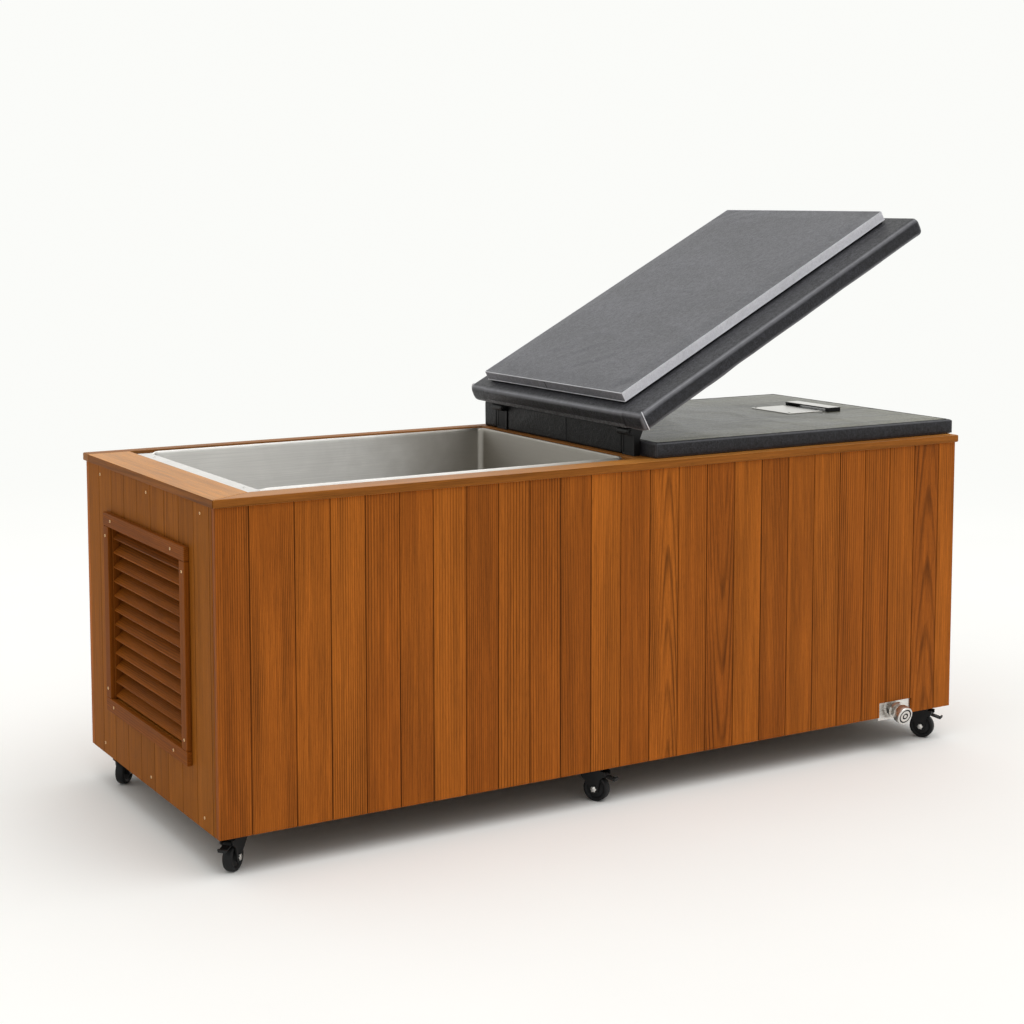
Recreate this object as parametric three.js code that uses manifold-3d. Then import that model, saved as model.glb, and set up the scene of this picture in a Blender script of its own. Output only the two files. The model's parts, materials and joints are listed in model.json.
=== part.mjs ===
// A cold plunge tub: a timber cabinet on casters that holds a steel basin and its chiller.
// Millimetres, +Z up, +X along the cabinet, +Y from the front to the back.
// Layout values are measured from the cabinet's front left corner, at floor level.
import * as THREE from 'three';
import { mergeVertices } from 'three/addons/utils/BufferGeometryUtils.js';
import Module from 'manifold-3d';

const wasm = await Module();
wasm.setup();

// Driving sizes
const gap = 0.3; // clearance between pieces that touch
const past = 1; // how far a cutter passes the face that it cuts, and a joined piece sinks in
const cabinet = { length: 2050, width: 826, height: 700 };
const board = { width: 82, thickness: 18, grooveWidth: 6, grooveDepth: 3 };
const deck = { thickness: 18, recess: 3 };
const rim = {
  thickness: 19, overhang: 6, front: 64, back: 38, backAtBay: 84, left: 106, right: 76, divider: 104,
};
const basin = {
  length: 923, wall: 2, cornerRadius: 16, recess: 8,
  flangeLeft: 45, flangeRight: 17, flangeFront: 42, flangeBack: 30,
};
const jacket = { floor: 25, clearance: 0.7 };
const louvre = {
  frontInset: 146, backInset: 154, bottom: 122, top: 598, member: 32, proud: 12,
  slats: 12, slatDepth: 34, slatThickness: 6, slatTilt: 40, slatSetback: 10, strip: 6, stripSetback: 1,
};
const lid = {
  thickness: 49, sideInset: 10, overlap: 24, edgeRadius: 7,
  hingeGap: 12, openAngle: 152, pivotRise: 10, pivotInset: 7,
};
const plug = { thickness: 30, clearance: 6, edgeRadius: 9, crown: 2 };
const cover = { thickness: 37, frontInset: 24, backInset: 62, rightInset: -6, edgeRadius: 5 };
const bracketGap = 20; // between the shut lid and the bay cover, where the brackets stand
const hinge = {
  inset: 105, width: 40, cheek: 5, pinRadius: 5, knuckleRadius: 9, bore: 5.6,
  leafLength: 190, leafThickness: 4, base: 5, footClearance: 2, pinHead: 4,
  stopReach: 42, stopWidth: 14, stopThickness: 5, tipDepth: 12, coverClearance: 3,
};
const handle = {
  plateLength: 117, plateWidth: 160, plateThickness: 2, plateInset: 178,
  barLength: 180, barWidth: 44, barThickness: 3.5, barRise: 10.5, barFoot: 12, barGap: 10,
};
const drain = {
  rightInset: 188, rise: 16, tilt: 15, plateWidth: 108, plateRise: 38, plateDrop: 9, plateThickness: 3,
  neckRadius: 13, tipRadius: 9, ringRadius: 22, knobRadius: 24, knobFront: 39, knobBack: 17,
  elbowDepth: 44, elbowTop: 90, elbowClearance: 12, plateClearance: 1, tipEnd: 30,
  ringThickness: 7, bevel: 2,
};
const caster = {
  wheelRadius: 31.5, wheelWidth: 22, trail: 28, endInset: 70, sideInset: 66, middle: 952,
  plateLength: 66, plateWidth: 56, plateThickness: 3, bossRadius: 19, bossHeight: 6,
  kingpinRadius: 5, crownRadius: 22, crownThickness: 5, legThickness: 3.5, axleRadius: 4,
  legRoot: 18, legEye: 9, legBrow: 29, legHaunch: 16, legDepth: 18, bridge: 3,
  boltRadius: 7, boltHeight: 3, sides: 20, wheelClearance: 11.4, legClearance: 1.5, boreClearance: 0.4,
  hubRadius: 12, webRadius: 25, webDepth: 3, treadBevel: 3,
  pedalWidth: 19, pedalReach: 31, pedalThickness: 3, pedalTilt: 14, pedalToe: 4,
  pedalFromAxle: 22, pedalDrop: 9, pedalEye: 5.5, pedalBore: 3, pedalPin: 2.5,
};
const fitting = {
  flangeRadius: 30, flangeThickness: 5, tubeRadius: 17, bore: 12, nutRadius: 25, nutThickness: 10, reach: 34,
  drainFromFront: 90, drainRise: 70, returnFromBack: 170, returnDrop: 120,
};
const hose = { radius: 15, sides: 10, steps: 16, lead: 50, arch: 80 };
const pump = {
  startGap: 70, axisHeight: 95, fromFront: 330, length: 224, nozzle: 26, bevel: 6,
  voluteRadius: 65, voluteWidth: 46, motorRadius: 52, motorBevel: 10,
  portFromStart: 52, portRise: 28, footFromStart: 96, footLength: 108, footWidth: 92,
};
const filter = {
  radius: 75, height: 330, capRadius: 86, capHeight: 46, fromBack: 226,
  baseRadius: 60, baseBevel: 18, collar: 6, collarHeight: 16, capBevel: 8, portDrop: 46, portLength: 20,
};
const chiller = {
  length: 440, width: 390, height: 460, wall: 2, fromRight: 90, fromBack: 18,
  fanRadius: 130, fanHeight: 230, portHeight: 22, portRadius: 14,
  portInset: 60, inletFromBack: 90, outletFromFront: 80,
};
const fan = {
  blades: 5, bladeThickness: 2.5, bladeWidth: 62, pitch: 32, hubRadius: 28, hubLength: 26, shaft: 6,
  clearance: 8, bearing: 14, bossWall: 9, armWidth: 14, armLap: 8, bladeLap: 6, shaftInset: 2,
};
const inlet = {
  width: 62, height: 50, flange: 4, bodyWidth: 42, bodyHeight: 30, bodyPast: 12, fromRight: 300, rise: 120,
  wellWidth: 28, wellHeight: 18, wellDepth: 12,
};

// Levels and places that follow from the driving sizes
const degrees = Math.PI / 180;
const crownBottom = 2 * caster.wheelRadius + caster.wheelClearance;
const crownTop = crownBottom + caster.crownThickness;
const plateBottom = crownTop + gap + caster.bossHeight;
const deckBottom = plateBottom + caster.plateThickness + gap;
const cladBottom = deckBottom - deck.recess;
const cladTop = cladBottom + cabinet.height;
const rimTop = cladTop + rim.thickness;
const deckTop = deckBottom + deck.thickness;
const rimInner = {
  left: rim.left - rim.overhang,
  right: cabinet.length + rim.overhang - rim.right,
  front: rim.front - rim.overhang,
  back: cabinet.width + rim.overhang - rim.back,
};
const flange = {
  left: rimInner.left + gap,
  front: rimInner.front + gap,
  back: rimInner.back - gap,
  top: rimTop - basin.recess,
};
const pool = {
  left: flange.left + basin.flangeLeft,
  front: flange.front + basin.flangeFront,
  back: flange.back - basin.flangeBack,
};
pool.right = pool.left + basin.length;
flange.right = pool.right + basin.flangeRight;
const dividerLeft = flange.right + gap;
const jacketRight = flange.right - jacket.clearance;
const basinBottom = deckTop + gap + jacket.floor + gap;
const lidRight = dividerLeft + lid.hingeGap;
const lidLeft = pool.left - lid.overlap;
const coverLeft = lidRight + bracketGap;
const coverTop = rimTop + gap + cover.thickness;
const pivot = {
  x: lidRight - lid.pivotInset,
  z: rimTop + gap + lid.thickness + lid.pivotRise,
};
const drainX = cabinet.length - drain.rightInset;
const drainZ = cladBottom + drain.rise;
const inletPlace = { x: cabinet.length - inlet.fromRight, z: cladBottom + inlet.rise };

// Solids: closed meshes with merged vertices, joined and cut by the solid library
function closed(geometry) {
  const bare = geometry.index ? geometry.toNonIndexed() : geometry.clone();
  bare.deleteAttribute('normal');
  bare.deleteAttribute('uv');
  const merged = mergeVertices(bare, 1e-3);
  const corner = [new THREE.Vector3(), new THREE.Vector3(), new THREE.Vector3()];
  const index = merged.index.array;
  const kept = [];
  let volume = 0;
  for (let i = 0; i < index.length; i += 3) {
    const [a, b, c] = [index[i], index[i + 1], index[i + 2]];
    if (a === b || b === c || c === a) continue;
    kept.push(a, b, c);
    corner.forEach((point, k) => point.fromBufferAttribute(merged.attributes.position, index[i + k]));
    volume += corner[0].dot(corner[1].cross(corner[2]));
  }
  merged.setIndex(volume < 0 ? kept.reverse() : kept);
  merged.computeVertexNormals();
  return merged;
}

function toSolid(geometry) {
  const merged = closed(geometry);
  const mesh = new wasm.Mesh({
    numProp: 3,
    vertProperties: new Float32Array(merged.attributes.position.array),
    triVerts: new Uint32Array(merged.index.array),
  });
  return new wasm.Manifold(mesh);
}

function toGeometry(solid) {
  const mesh = solid.getMesh();
  const geometry = new THREE.BufferGeometry();
  geometry.setAttribute('position', new THREE.BufferAttribute(new Float32Array(mesh.vertProperties), 3));
  geometry.setIndex(new THREE.BufferAttribute(new Uint32Array(mesh.triVerts), 1));
  geometry.computeVertexNormals();
  return geometry;
}

function join(first, ...others) {
  let solid = toSolid(first);
  for (const other of others) solid = solid.add(toSolid(other));
  return toGeometry(solid);
}

function cut(first, ...tools) {
  let solid = toSolid(first);
  for (const tool of tools) solid = solid.subtract(toSolid(tool));
  return toGeometry(solid);
}

function block(x0, x1, y0, y1, z0, z1) {
  const geometry = new THREE.BoxGeometry(x1 - x0, y1 - y0, z1 - z0);
  return geometry.translate((x0 + x1) / 2, (y0 + y1) / 2, (z0 + z1) / 2);
}

function outline(points) {
  return new THREE.Shape(points.map(([x, y]) => new THREE.Vector2(x, y)));
}

function extrude(shape, depth, curveSegments = 6) {
  return new THREE.ExtrudeGeometry(shape, { depth, bevelEnabled: false, curveSegments });
}

// An outline drawn in X and Z, extruded towards +Y from y0 to y1
function sideProfile(points, y0, y1) {
  return extrude(outline(points), y1 - y0).rotateX(Math.PI / 2).translate(0, y1, 0);
}

function roundedBlock(x0, x1, y0, y1, z0, z1, radius) {
  const shape = new THREE.Shape();
  shape.moveTo(x0 + radius, y0);
  shape.lineTo(x1 - radius, y0);
  shape.absarc(x1 - radius, y0 + radius, radius, -Math.PI / 2, 0);
  shape.lineTo(x1, y1 - radius);
  shape.absarc(x1 - radius, y1 - radius, radius, 0, Math.PI / 2);
  shape.lineTo(x0 + radius, y1);
  shape.absarc(x0 + radius, y1 - radius, radius, Math.PI / 2, Math.PI);
  shape.lineTo(x0, y0 + radius);
  shape.absarc(x0 + radius, y0 + radius, radius, Math.PI, 1.5 * Math.PI);
  return extrude(shape, z1 - z0, 5).translate(0, 0, z0);
}

// A profile of [radius, height] pairs turned round +Z
function turned(profile, sides = 16) {
  const points = profile.map(([radius, height]) => new THREE.Vector2(radius, height));
  return new THREE.LatheGeometry(points, sides).rotateX(Math.PI / 2);
}

function turnedAlongX(profile, x, y, z, sides = 16) {
  return turned(profile, sides).rotateY(Math.PI / 2).translate(x, y, z);
}

function rodAlongX(radius, x0, x1, y, z, sides = 12) {
  return turnedAlongX([[0, x0], [radius, x0], [radius, x1], [0, x1]], 0, y, z, sides);
}

function rodAlongY(radius, x, y0, y1, z, sides = 10) {
  const rod = turned([[0, y0], [radius, y0], [radius, y1], [0, y1]], sides);
  return rod.rotateX(-Math.PI / 2).translate(x, 0, z);
}

function rodAlongZ(radius, x, y, z0, z1, sides = 12) {
  return turned([[0, z0], [radius, z0], [radius, z1], [0, z1]], sides).translate(x, y, 0);
}

function tube(points, radius, steps, sides = hose.sides) {
  const section = new THREE.Shape();
  section.absarc(0, 0, radius, 0, 2 * Math.PI);
  const knots = points.map((point) => new THREE.Vector3(...point));
  const path = new THREE.CatmullRomCurve3(knots, false, 'centripetal');
  const options = { steps, curveSegments: sides / 2, extrudePath: path, bevelEnabled: false };
  return new THREE.ExtrudeGeometry(section, options);
}

// A foam pad with rounded edges, and a crown on its lower face if it has one
function pad(x0, x1, y0, y1, z0, z1, radius, crown = 0) {
  const half = new THREE.Vector3((x1 - x0) / 2, (y1 - y0) / 2, (z1 - z0) / 2);
  const geometry = new THREE.BoxGeometry(2, 2, 2, 12, 10, 4);
  const position = geometry.attributes.position;
  const core = half.clone().subScalar(radius);
  const spread = (t, size) => Math.sign(t) * size * (1 - (1 - Math.abs(t)) ** 2.2);
  for (let i = 0; i < position.count; i += 1) {
    const unit = new THREE.Vector3().fromBufferAttribute(position, i);
    const point = new THREE.Vector3(spread(unit.x, half.x), spread(unit.y, half.y), spread(unit.z, half.z));
    const inside = point.clone().clamp(core.clone().negate(), core);
    const outward = point.clone().sub(inside);
    if (outward.length() > 0) point.copy(inside).addScaledVector(outward.normalize(), radius);
    const across = (1 - (point.x / half.x) ** 2) * (1 - (point.y / half.y) ** 2);
    if (point.z < 0) point.z += (crown * across * point.z) / half.z;
    position.setXYZ(i, point.x, point.y, point.z);
  }
  return geometry.translate((x0 + x1) / 2, (y0 + y1) / 2, (z0 + z1) / 2);
}

const finishes = {
  cedar: { color: 0xa4673c, roughness: 0.55, metalness: 0 },
  rimTimber: { color: 0xc09468, roughness: 0.5, metalness: 0 },
  plywood: { color: 0xb89b72, roughness: 0.8, metalness: 0 },
  steel: { color: 0xd3d6d8, roughness: 0.3, metalness: 1 },
  foam: { color: 0xd9cfae, roughness: 0.9, metalness: 0 },
  vinyl: { color: 0x2a2c2f, roughness: 0.65, metalness: 0 },
  greyVinyl: { color: 0x74757a, roughness: 0.6, metalness: 0 },
  blackMetal: { color: 0x151617, roughness: 0.45, metalness: 0.6 },
  blackPlastic: { color: 0x1a1b1c, roughness: 0.5, metalness: 0 },
  rubber: { color: 0x202122, roughness: 0.8, metalness: 0 },
  casing: { color: 0xc9cccf, roughness: 0.5, metalness: 0.3 },
  bluePlastic: { color: 0x3d5f86, roughness: 0.45, metalness: 0 },
};

function add(parent, name, geometry, finish) {
  const mesh = new THREE.Mesh(closed(geometry), new THREE.MeshStandardMaterial(finishes[finish]));
  mesh.name = name;
  parent.add(mesh);
  return mesh;
}

// Cabinet: a deck, four panels of upright boards and the rim boards on top
// A panel's plan outline has a V groove on its outer side at each joint between boards
function boardPanel(length, height) {
  const count = Math.round(length / board.width);
  const points = [[0, board.thickness], [0, 0]];
  for (let i = 1; i < count; i += 1) {
    const seam = (i * length) / count;
    points.push([seam - board.grooveWidth / 2, 0]);
    points.push([seam, board.grooveDepth]);
    points.push([seam + board.grooveWidth / 2, 0]);
  }
  points.push([length, 0], [length, board.thickness]);
  return extrude(outline(points), height);
}

function addCabinet(root) {
  const { length, width, height } = cabinet;
  const inside = board.thickness + gap;
  const notch = drain.plateWidth / 2 + gap;
  const drainNotch = block(
    drainX - notch, drainX + notch, -past, board.thickness + past,
    cladBottom - past, cladBottom + drain.plateRise + gap,
  );
  const front = boardPanel(length, height).translate(0, 0, cladBottom);
  add(root, 'front_cladding', cut(front, drainNotch), 'cedar');

  const socketHalf = { x: inlet.bodyWidth / 2 + gap, z: inlet.bodyHeight / 2 + gap };
  const socket = block(
    inletPlace.x - socketHalf.x, inletPlace.x + socketHalf.x, width - board.thickness - past, width + past,
    inletPlace.z - socketHalf.z, inletPlace.z + socketHalf.z,
  );
  const back = boardPanel(length, height).rotateZ(Math.PI).translate(length, width, cladBottom);
  add(root, 'back_cladding', cut(back, socket), 'cedar');

  const endLength = width - 2 * inside;
  const vent = block(
    -past, board.thickness + past,
    louvre.frontInset + louvre.member, width - louvre.backInset - louvre.member,
    cladBottom + louvre.bottom + louvre.member, cladBottom + louvre.top - louvre.member,
  );
  const left = boardPanel(endLength, height).rotateZ(-Math.PI / 2).translate(0, width - inside, cladBottom);
  add(root, 'left_cladding', cut(left, vent), 'cedar');
  const right = boardPanel(endLength, height).rotateZ(Math.PI / 2).translate(length, inside, cladBottom);
  add(root, 'right_cladding', right, 'cedar');

  const deckPlate = block(inside, length - inside, inside, width - inside, deckBottom, deckTop);
  const elbowHalf = drain.neckRadius + drain.elbowClearance;
  const elbowNotch = block(
    drainX - elbowHalf, drainX + elbowHalf, 0, drain.elbowDepth + elbowHalf,
    deckBottom - past, deckTop + past,
  );
  add(root, 'base_deck', cut(deckPlate, elbowNotch), 'plywood');
}

function addRim(root) {
  const bottom = cladTop + gap;
  const bayBack = cabinet.width + rim.overhang - rim.backAtBay;
  const outer = {
    left: -rim.overhang, right: cabinet.length + rim.overhang,
    front: -rim.overhang, back: cabinet.width + rim.overhang,
  };
  const lean = (across) => (gap * Math.hypot(across, rim.front)) / across; // the gap, along y, at a mitre
  const boards = {
    rim_front: [
      [outer.left, outer.front], [outer.right, outer.front],
      [rimInner.right, rimInner.front], [rimInner.left, rimInner.front],
    ],
    rim_left: [
      [outer.left, outer.front + lean(rim.left)], [rimInner.left, rimInner.front + lean(rim.left)],
      [rimInner.left, rimInner.back - gap], [outer.left, rimInner.back - gap],
    ],
    rim_right: [
      [rimInner.right, rimInner.front + lean(rim.right)], [outer.right, outer.front + lean(rim.right)],
      [outer.right, bayBack - gap], [rimInner.right, bayBack - gap],
    ],
    rim_divider: [
      [dividerLeft, rimInner.front + gap], [dividerLeft + rim.divider, rimInner.front + gap],
      [dividerLeft + rim.divider, bayBack - gap], [dividerLeft, bayBack - gap],
    ],
  };
  for (const [name, corners] of Object.entries(boards)) {
    const slab = extrude(outline(corners), rimTop - bottom).translate(0, 0, bottom);
    add(root, name, slab, 'rimTimber');
  }
  const backBoard = outline([
    [outer.left, rimInner.back], [dividerLeft, rimInner.back], [dividerLeft, bayBack],
    [outer.right, bayBack], [outer.right, outer.back], [outer.left, outer.back],
  ]);
  add(root, 'rim_back', extrude(backBoard, rimTop - bottom).translate(0, 0, bottom), 'rimTimber');
}

// Vent in the left end: a frame planted on the boards and a pack of tilted slats in the opening
function addLouvre(root) {
  const y0 = louvre.frontInset;
  const y1 = cabinet.width - louvre.backInset;
  const z0 = cladBottom + louvre.bottom;
  const z1 = cladBottom + louvre.top;
  const open = {
    y0: y0 + louvre.member, y1: y1 - louvre.member, z0: z0 + louvre.member, z1: z1 - louvre.member,
  };
  const frame = block(-louvre.proud - gap, -gap, y0, y1, z0, z1);
  const hole = block(-louvre.proud - past, past, open.y0, open.y1, open.z0, open.z1);
  add(root, 'louvre_frame', cut(frame, hole), 'cedar');

  const stripFront = louvre.slatSetback + louvre.stripSetback - louvre.proud;
  const stripBack = louvre.slatSetback + board.thickness - louvre.stripSetback;
  const middle = louvre.slatSetback + (board.thickness - louvre.proud) / 2;
  const pitch = (open.z1 - open.z0) / louvre.slats;
  const pieces = [];
  for (const y of [open.y0 + gap, open.y1 - gap - louvre.strip]) {
    pieces.push(block(stripFront, stripBack, y, y + louvre.strip, open.z0 + gap, open.z1 - gap));
  }
  for (let i = 0; i < louvre.slats; i += 1) {
    const slat = new THREE.BoxGeometry(louvre.slatDepth, open.y1 - open.y0 - 2 * gap, louvre.slatThickness);
    slat.rotateY(-louvre.slatTilt * degrees);
    pieces.push(slat.translate(middle, (open.y0 + open.y1) / 2, open.z0 + (i + 0.5) * pitch));
  }
  add(root, 'louvre_slats', join(...pieces), 'cedar');
}

// Basin, the foam jacket that carries it, and the fittings through its right wall
const fittings = {
  drain_fitting: { y: pool.front + fitting.drainFromFront, z: basinBottom + fitting.drainRise },
  suction_fitting: { y: pump.fromFront, z: deckTop + gap + pump.axisHeight },
  return_fitting: { y: pool.back - fitting.returnFromBack, z: flange.top - fitting.returnDrop },
};
const fittingEnd = jacketRight + fitting.reach;

function addBasin(root) {
  const wall = basin.wall;
  const shell = roundedBlock(
    pool.left - wall, pool.right + wall, pool.front - wall, pool.back + wall,
    basinBottom, flange.top - wall / 2, basin.cornerRadius + wall,
  );
  const lip = block(flange.left, flange.right, flange.front, flange.back, flange.top - wall, flange.top);
  const water = roundedBlock(
    pool.left, pool.right, pool.front, pool.back, basinBottom + wall, flange.top + past, basin.cornerRadius,
  );
  const holes = Object.values(fittings).map(({ y, z }) => (
    rodAlongX(fitting.tubeRadius + gap, pool.right - past, jacketRight + past, y, z)
  ));
  add(root, 'basin', cut(join(shell, lip), water, ...holes), 'steel');

  const clear = jacket.clearance;
  const foam = block(
    flange.left + clear, jacketRight, flange.front + clear, flange.back - clear,
    deckTop + gap, flange.top - wall - gap,
  );
  const pocket = roundedBlock(
    pool.left - wall - gap, pool.right + wall + gap, pool.front - wall - gap, pool.back + wall + gap,
    basinBottom - gap, flange.top, basin.cornerRadius + wall + gap,
  );
  add(root, 'basin_jacket', cut(foam, pocket, ...holes), 'foam');

  const flangeStart = pool.right - gap - fitting.flangeThickness;
  const nutStart = jacketRight + gap;
  const profile = [
    [fitting.bore, flangeStart],
    [fitting.flangeRadius, flangeStart],
    [fitting.flangeRadius, flangeStart + fitting.flangeThickness],
    [fitting.tubeRadius, flangeStart + fitting.flangeThickness],
    [fitting.tubeRadius, nutStart],
    [fitting.nutRadius, nutStart],
    [fitting.nutRadius, nutStart + fitting.nutThickness],
    [fitting.tubeRadius, nutStart + fitting.nutThickness],
    [fitting.tubeRadius, fittingEnd],
    [fitting.bore, fittingEnd],
    [fitting.bore, flangeStart],
  ];
  for (const [name, { y, z }] of Object.entries(fittings)) {
    add(root, name, turnedAlongX(profile, 0, y, z, 12), 'steel');
  }
}

// Equipment bay: pump, filter, chiller with its fan, and the hoses between them
const pumpStart = fittingEnd + pump.startGap;
const pumpAxis = deckTop + gap + pump.axisHeight;
const pumpPort = { x: pumpStart + pump.portFromStart, z: pumpAxis + pump.voluteRadius + pump.portRise };
const case_ = {
  x1: cabinet.length - chiller.fromRight,
  y1: cabinet.width - board.thickness - chiller.fromBack,
  z0: deckTop + gap,
};
case_.x0 = case_.x1 - chiller.length;
case_.y0 = case_.y1 - chiller.width;
case_.z1 = case_.z0 + chiller.height;
const chillerPorts = {
  inlet: { x: case_.x0 + chiller.portInset, y: case_.y1 - chiller.inletFromBack },
  outlet: { x: case_.x0 + chiller.portInset, y: case_.y0 + chiller.outletFromFront },
};
const filterPlace = { x: (fittingEnd + case_.x0) / 2, y: cabinet.width - filter.fromBack };
const filterBase = deckTop + gap;
const filterPorts = {
  inlet: {
    y: filterPlace.y - filter.radius - filter.portLength,
    z: filterBase + filter.height - filter.portDrop,
  },
  outlet: { z: filterBase + filter.height + filter.capHeight + filter.portLength },
};
const fanAxis = { y: (case_.y0 + case_.y1) / 2, z: case_.z0 + chiller.fanHeight };

function addPump(root) {
  const { voluteRadius, motorRadius, motorBevel, nozzle, bevel } = pump;
  const voluteStart = nozzle + bevel;
  const voluteEnd = voluteStart + pump.voluteWidth;
  const body = turnedAlongX([
    [0, 0], [hose.radius, 0], [hose.radius, nozzle], [voluteRadius, voluteStart], [voluteRadius, voluteEnd],
    [motorRadius, voluteEnd + bevel], [motorRadius, pump.length - motorBevel],
    [motorRadius - motorBevel, pump.length], [0, pump.length],
  ], pumpStart, pump.fromFront, pumpAxis);
  const port = rodAlongZ(hose.radius, pumpPort.x, pump.fromFront, pumpAxis, pumpPort.z);
  const footStart = pumpStart + pump.footFromStart;
  const foot = block(
    footStart, footStart + pump.footLength,
    pump.fromFront - pump.footWidth / 2, pump.fromFront + pump.footWidth / 2,
    deckTop + gap, pumpAxis - motorRadius / 2,
  );
  add(root, 'circulation_pump', join(body, port, foot), 'blackPlastic');

  const { radius, height, capRadius, capHeight, capBevel, collar, collarHeight } = filter;
  const bowl = turned([
    [0, 0], [filter.baseRadius, 0], [radius, filter.baseBevel], [radius, height - collarHeight - collar],
    [radius + collar, height - collarHeight], [radius + collar, height], [capRadius, height],
    [capRadius, height + capHeight - capBevel], [capRadius - capBevel, height + capHeight],
    [0, height + capHeight],
  ]).translate(filterPlace.x, filterPlace.y, filterBase);
  const { inlet: inPort, outlet: outPort } = filterPorts;
  const sidePort = rodAlongY(hose.radius, filterPlace.x, inPort.y, filterPlace.y, inPort.z);
  const topPort = rodAlongZ(hose.radius, filterPlace.x, filterPlace.y, filterBase + height, outPort.z);
  add(root, 'filter_housing', join(bowl, sidePort, topPort), 'bluePlastic');
}

function addChiller(root) {
  const { wall, fanRadius, portHeight, portRadius } = chiller;
  const { x0, x1, y0, y1, z0, z1 } = case_;
  const hood = cut(
    block(x0, x1, y0, y1, z0, z1),
    block(x0 + wall, x1 - wall, y0 + wall, y1 - wall, z0 - past, z1 - wall),
    rodAlongX(fanRadius + fan.clearance, x0 - past, x0 + wall + past, fanAxis.y, fanAxis.z, 32),
  );
  const boss = rodAlongX(fan.shaft + fan.bossWall, x0, x0 + fan.bearing, fanAxis.y, fanAxis.z);
  const armLength = 2 * (fanRadius + fan.clearance + fan.armLap);
  const arms = [];
  for (const turn of [0, 1]) {
    const arm = new THREE.BoxGeometry(wall, fan.armWidth, armLength).rotateX((turn * Math.PI) / 2);
    arms.push(arm.translate(x0 + wall / 2, fanAxis.y, fanAxis.z));
  }
  const ports = Object.values(chillerPorts).map(({ x, y }) => (
    rodAlongZ(portRadius, x, y, z1 - wall / 2, z1 + portHeight)
  ));
  const shaftHole = rodAlongX(fan.shaft + gap, x0 - past, x0 + fan.bearing + past, fanAxis.y, fanAxis.z, 16);
  add(root, 'chiller_case', cut(join(hood, boss, ...arms, ...ports), shaftHole), 'casing');

  const shaftStart = x0 + fan.shaftInset;
  const hubStart = x0 + fan.bearing + gap;
  const rotor = turnedAlongX([
    [0, shaftStart], [fan.shaft, shaftStart], [fan.shaft, hubStart], [fan.hubRadius, hubStart],
    [fan.hubRadius, hubStart + fan.hubLength], [0, hubStart + fan.hubLength],
  ], 0, 0, 0);
  const span = fanRadius - fan.hubRadius + fan.bladeLap;
  const blades = [];
  for (let i = 0; i < fan.blades; i += 1) {
    const blade = new THREE.BoxGeometry(fan.bladeThickness, fan.bladeWidth, span);
    blade.rotateZ(fan.pitch * degrees);
    blade.translate(hubStart + fan.hubLength / 2 + fan.bladeLap, 0, fanRadius - span / 2);
    blades.push(blade.rotateX((i * 2 * Math.PI) / fan.blades));
  }
  const wheel = join(rotor, ...blades).translate(0, fanAxis.y, fanAxis.z);
  add(root, 'chiller_fan', wheel, 'blackPlastic');
}

// Each hose leaves a port square to it, for a short lead, and bends over to the next port
function addHoses(root) {
  const { drain_fitting: low, suction_fitting: suction, return_fitting: back } = fittings;
  const { lead, arch } = hose;
  const start = fittingEnd + gap;
  const spoutTop = drainZ + drain.elbowTop + gap;
  const portTop = case_.z1 + chiller.portHeight + gap;
  const { inlet: feed, outlet } = chillerPorts;
  const filterIn = { y: filterPorts.inlet.y - gap, z: filterPorts.inlet.z };
  const filterTop = filterPorts.outlet.z + gap;
  const routes = {
    suction_hose: [[start, suction.y, suction.z], [pumpStart - gap, suction.y, suction.z]],
    pump_hose: [
      [pumpPort.x, pump.fromFront, pumpPort.z + gap],
      [pumpPort.x, pump.fromFront, pumpPort.z + lead],
      [(pumpPort.x + filterPlace.x) / 2, (pump.fromFront + filterIn.y) / 2, filterIn.z + hose.radius],
      [filterPlace.x, filterIn.y - lead, filterIn.z],
      [filterPlace.x, filterIn.y, filterIn.z],
    ],
    feed_hose: [
      [filterPlace.x, filterPlace.y, filterTop],
      [filterPlace.x, filterPlace.y, filterTop + lead],
      [(filterPlace.x + feed.x) / 2, (filterPlace.y + feed.y) / 2, portTop + arch],
      [feed.x, feed.y, portTop + lead],
      [feed.x, feed.y, portTop],
    ],
    return_hose: [
      [outlet.x, outlet.y, portTop],
      [outlet.x, outlet.y, portTop + lead],
      [outlet.x - arch, (outlet.y + back.y) / 2, back.z],
      [start + arch, back.y, back.z],
      [start, back.y, back.z],
    ],
    drain_hose: [
      [start, low.y, low.z],
      [start + arch, low.y, low.z],
      [(start + drainX) / 2, (low.y + drain.elbowDepth) / 2, spoutTop + lead],
      [drainX - arch, drain.elbowDepth + hose.radius, spoutTop + arch],
      [drainX, drain.elbowDepth, spoutTop + lead],
      [drainX, drain.elbowDepth, spoutTop],
    ],
  };
  for (const [name, points] of Object.entries(routes)) {
    const radius = name === 'feed_hose' || name === 'return_hose' ? chiller.portRadius : hose.radius;
    add(root, name, tube(points, radius, points.length > 2 ? hose.steps : 1), 'rubber');
  }
}

function addInlet(root) {
  const { x, z } = inletPlace;
  const face = cabinet.width + gap + inlet.flange;
  const layer = (width, height, y0, y1) => block(
    x - width / 2, x + width / 2, y0, y1, z - height / 2, z + height / 2,
  );
  const plate = layer(inlet.width, inlet.height, cabinet.width + gap, face);
  const bodyBack = cabinet.width - board.thickness - inlet.bodyPast;
  const body = layer(inlet.bodyWidth, inlet.bodyHeight, bodyBack, face - gap);
  const well = layer(inlet.wellWidth, inlet.wellHeight, cabinet.width - inlet.wellDepth, face + past);
  add(root, 'power_inlet', cut(join(plate, body), well), 'blackPlastic');
}

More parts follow.
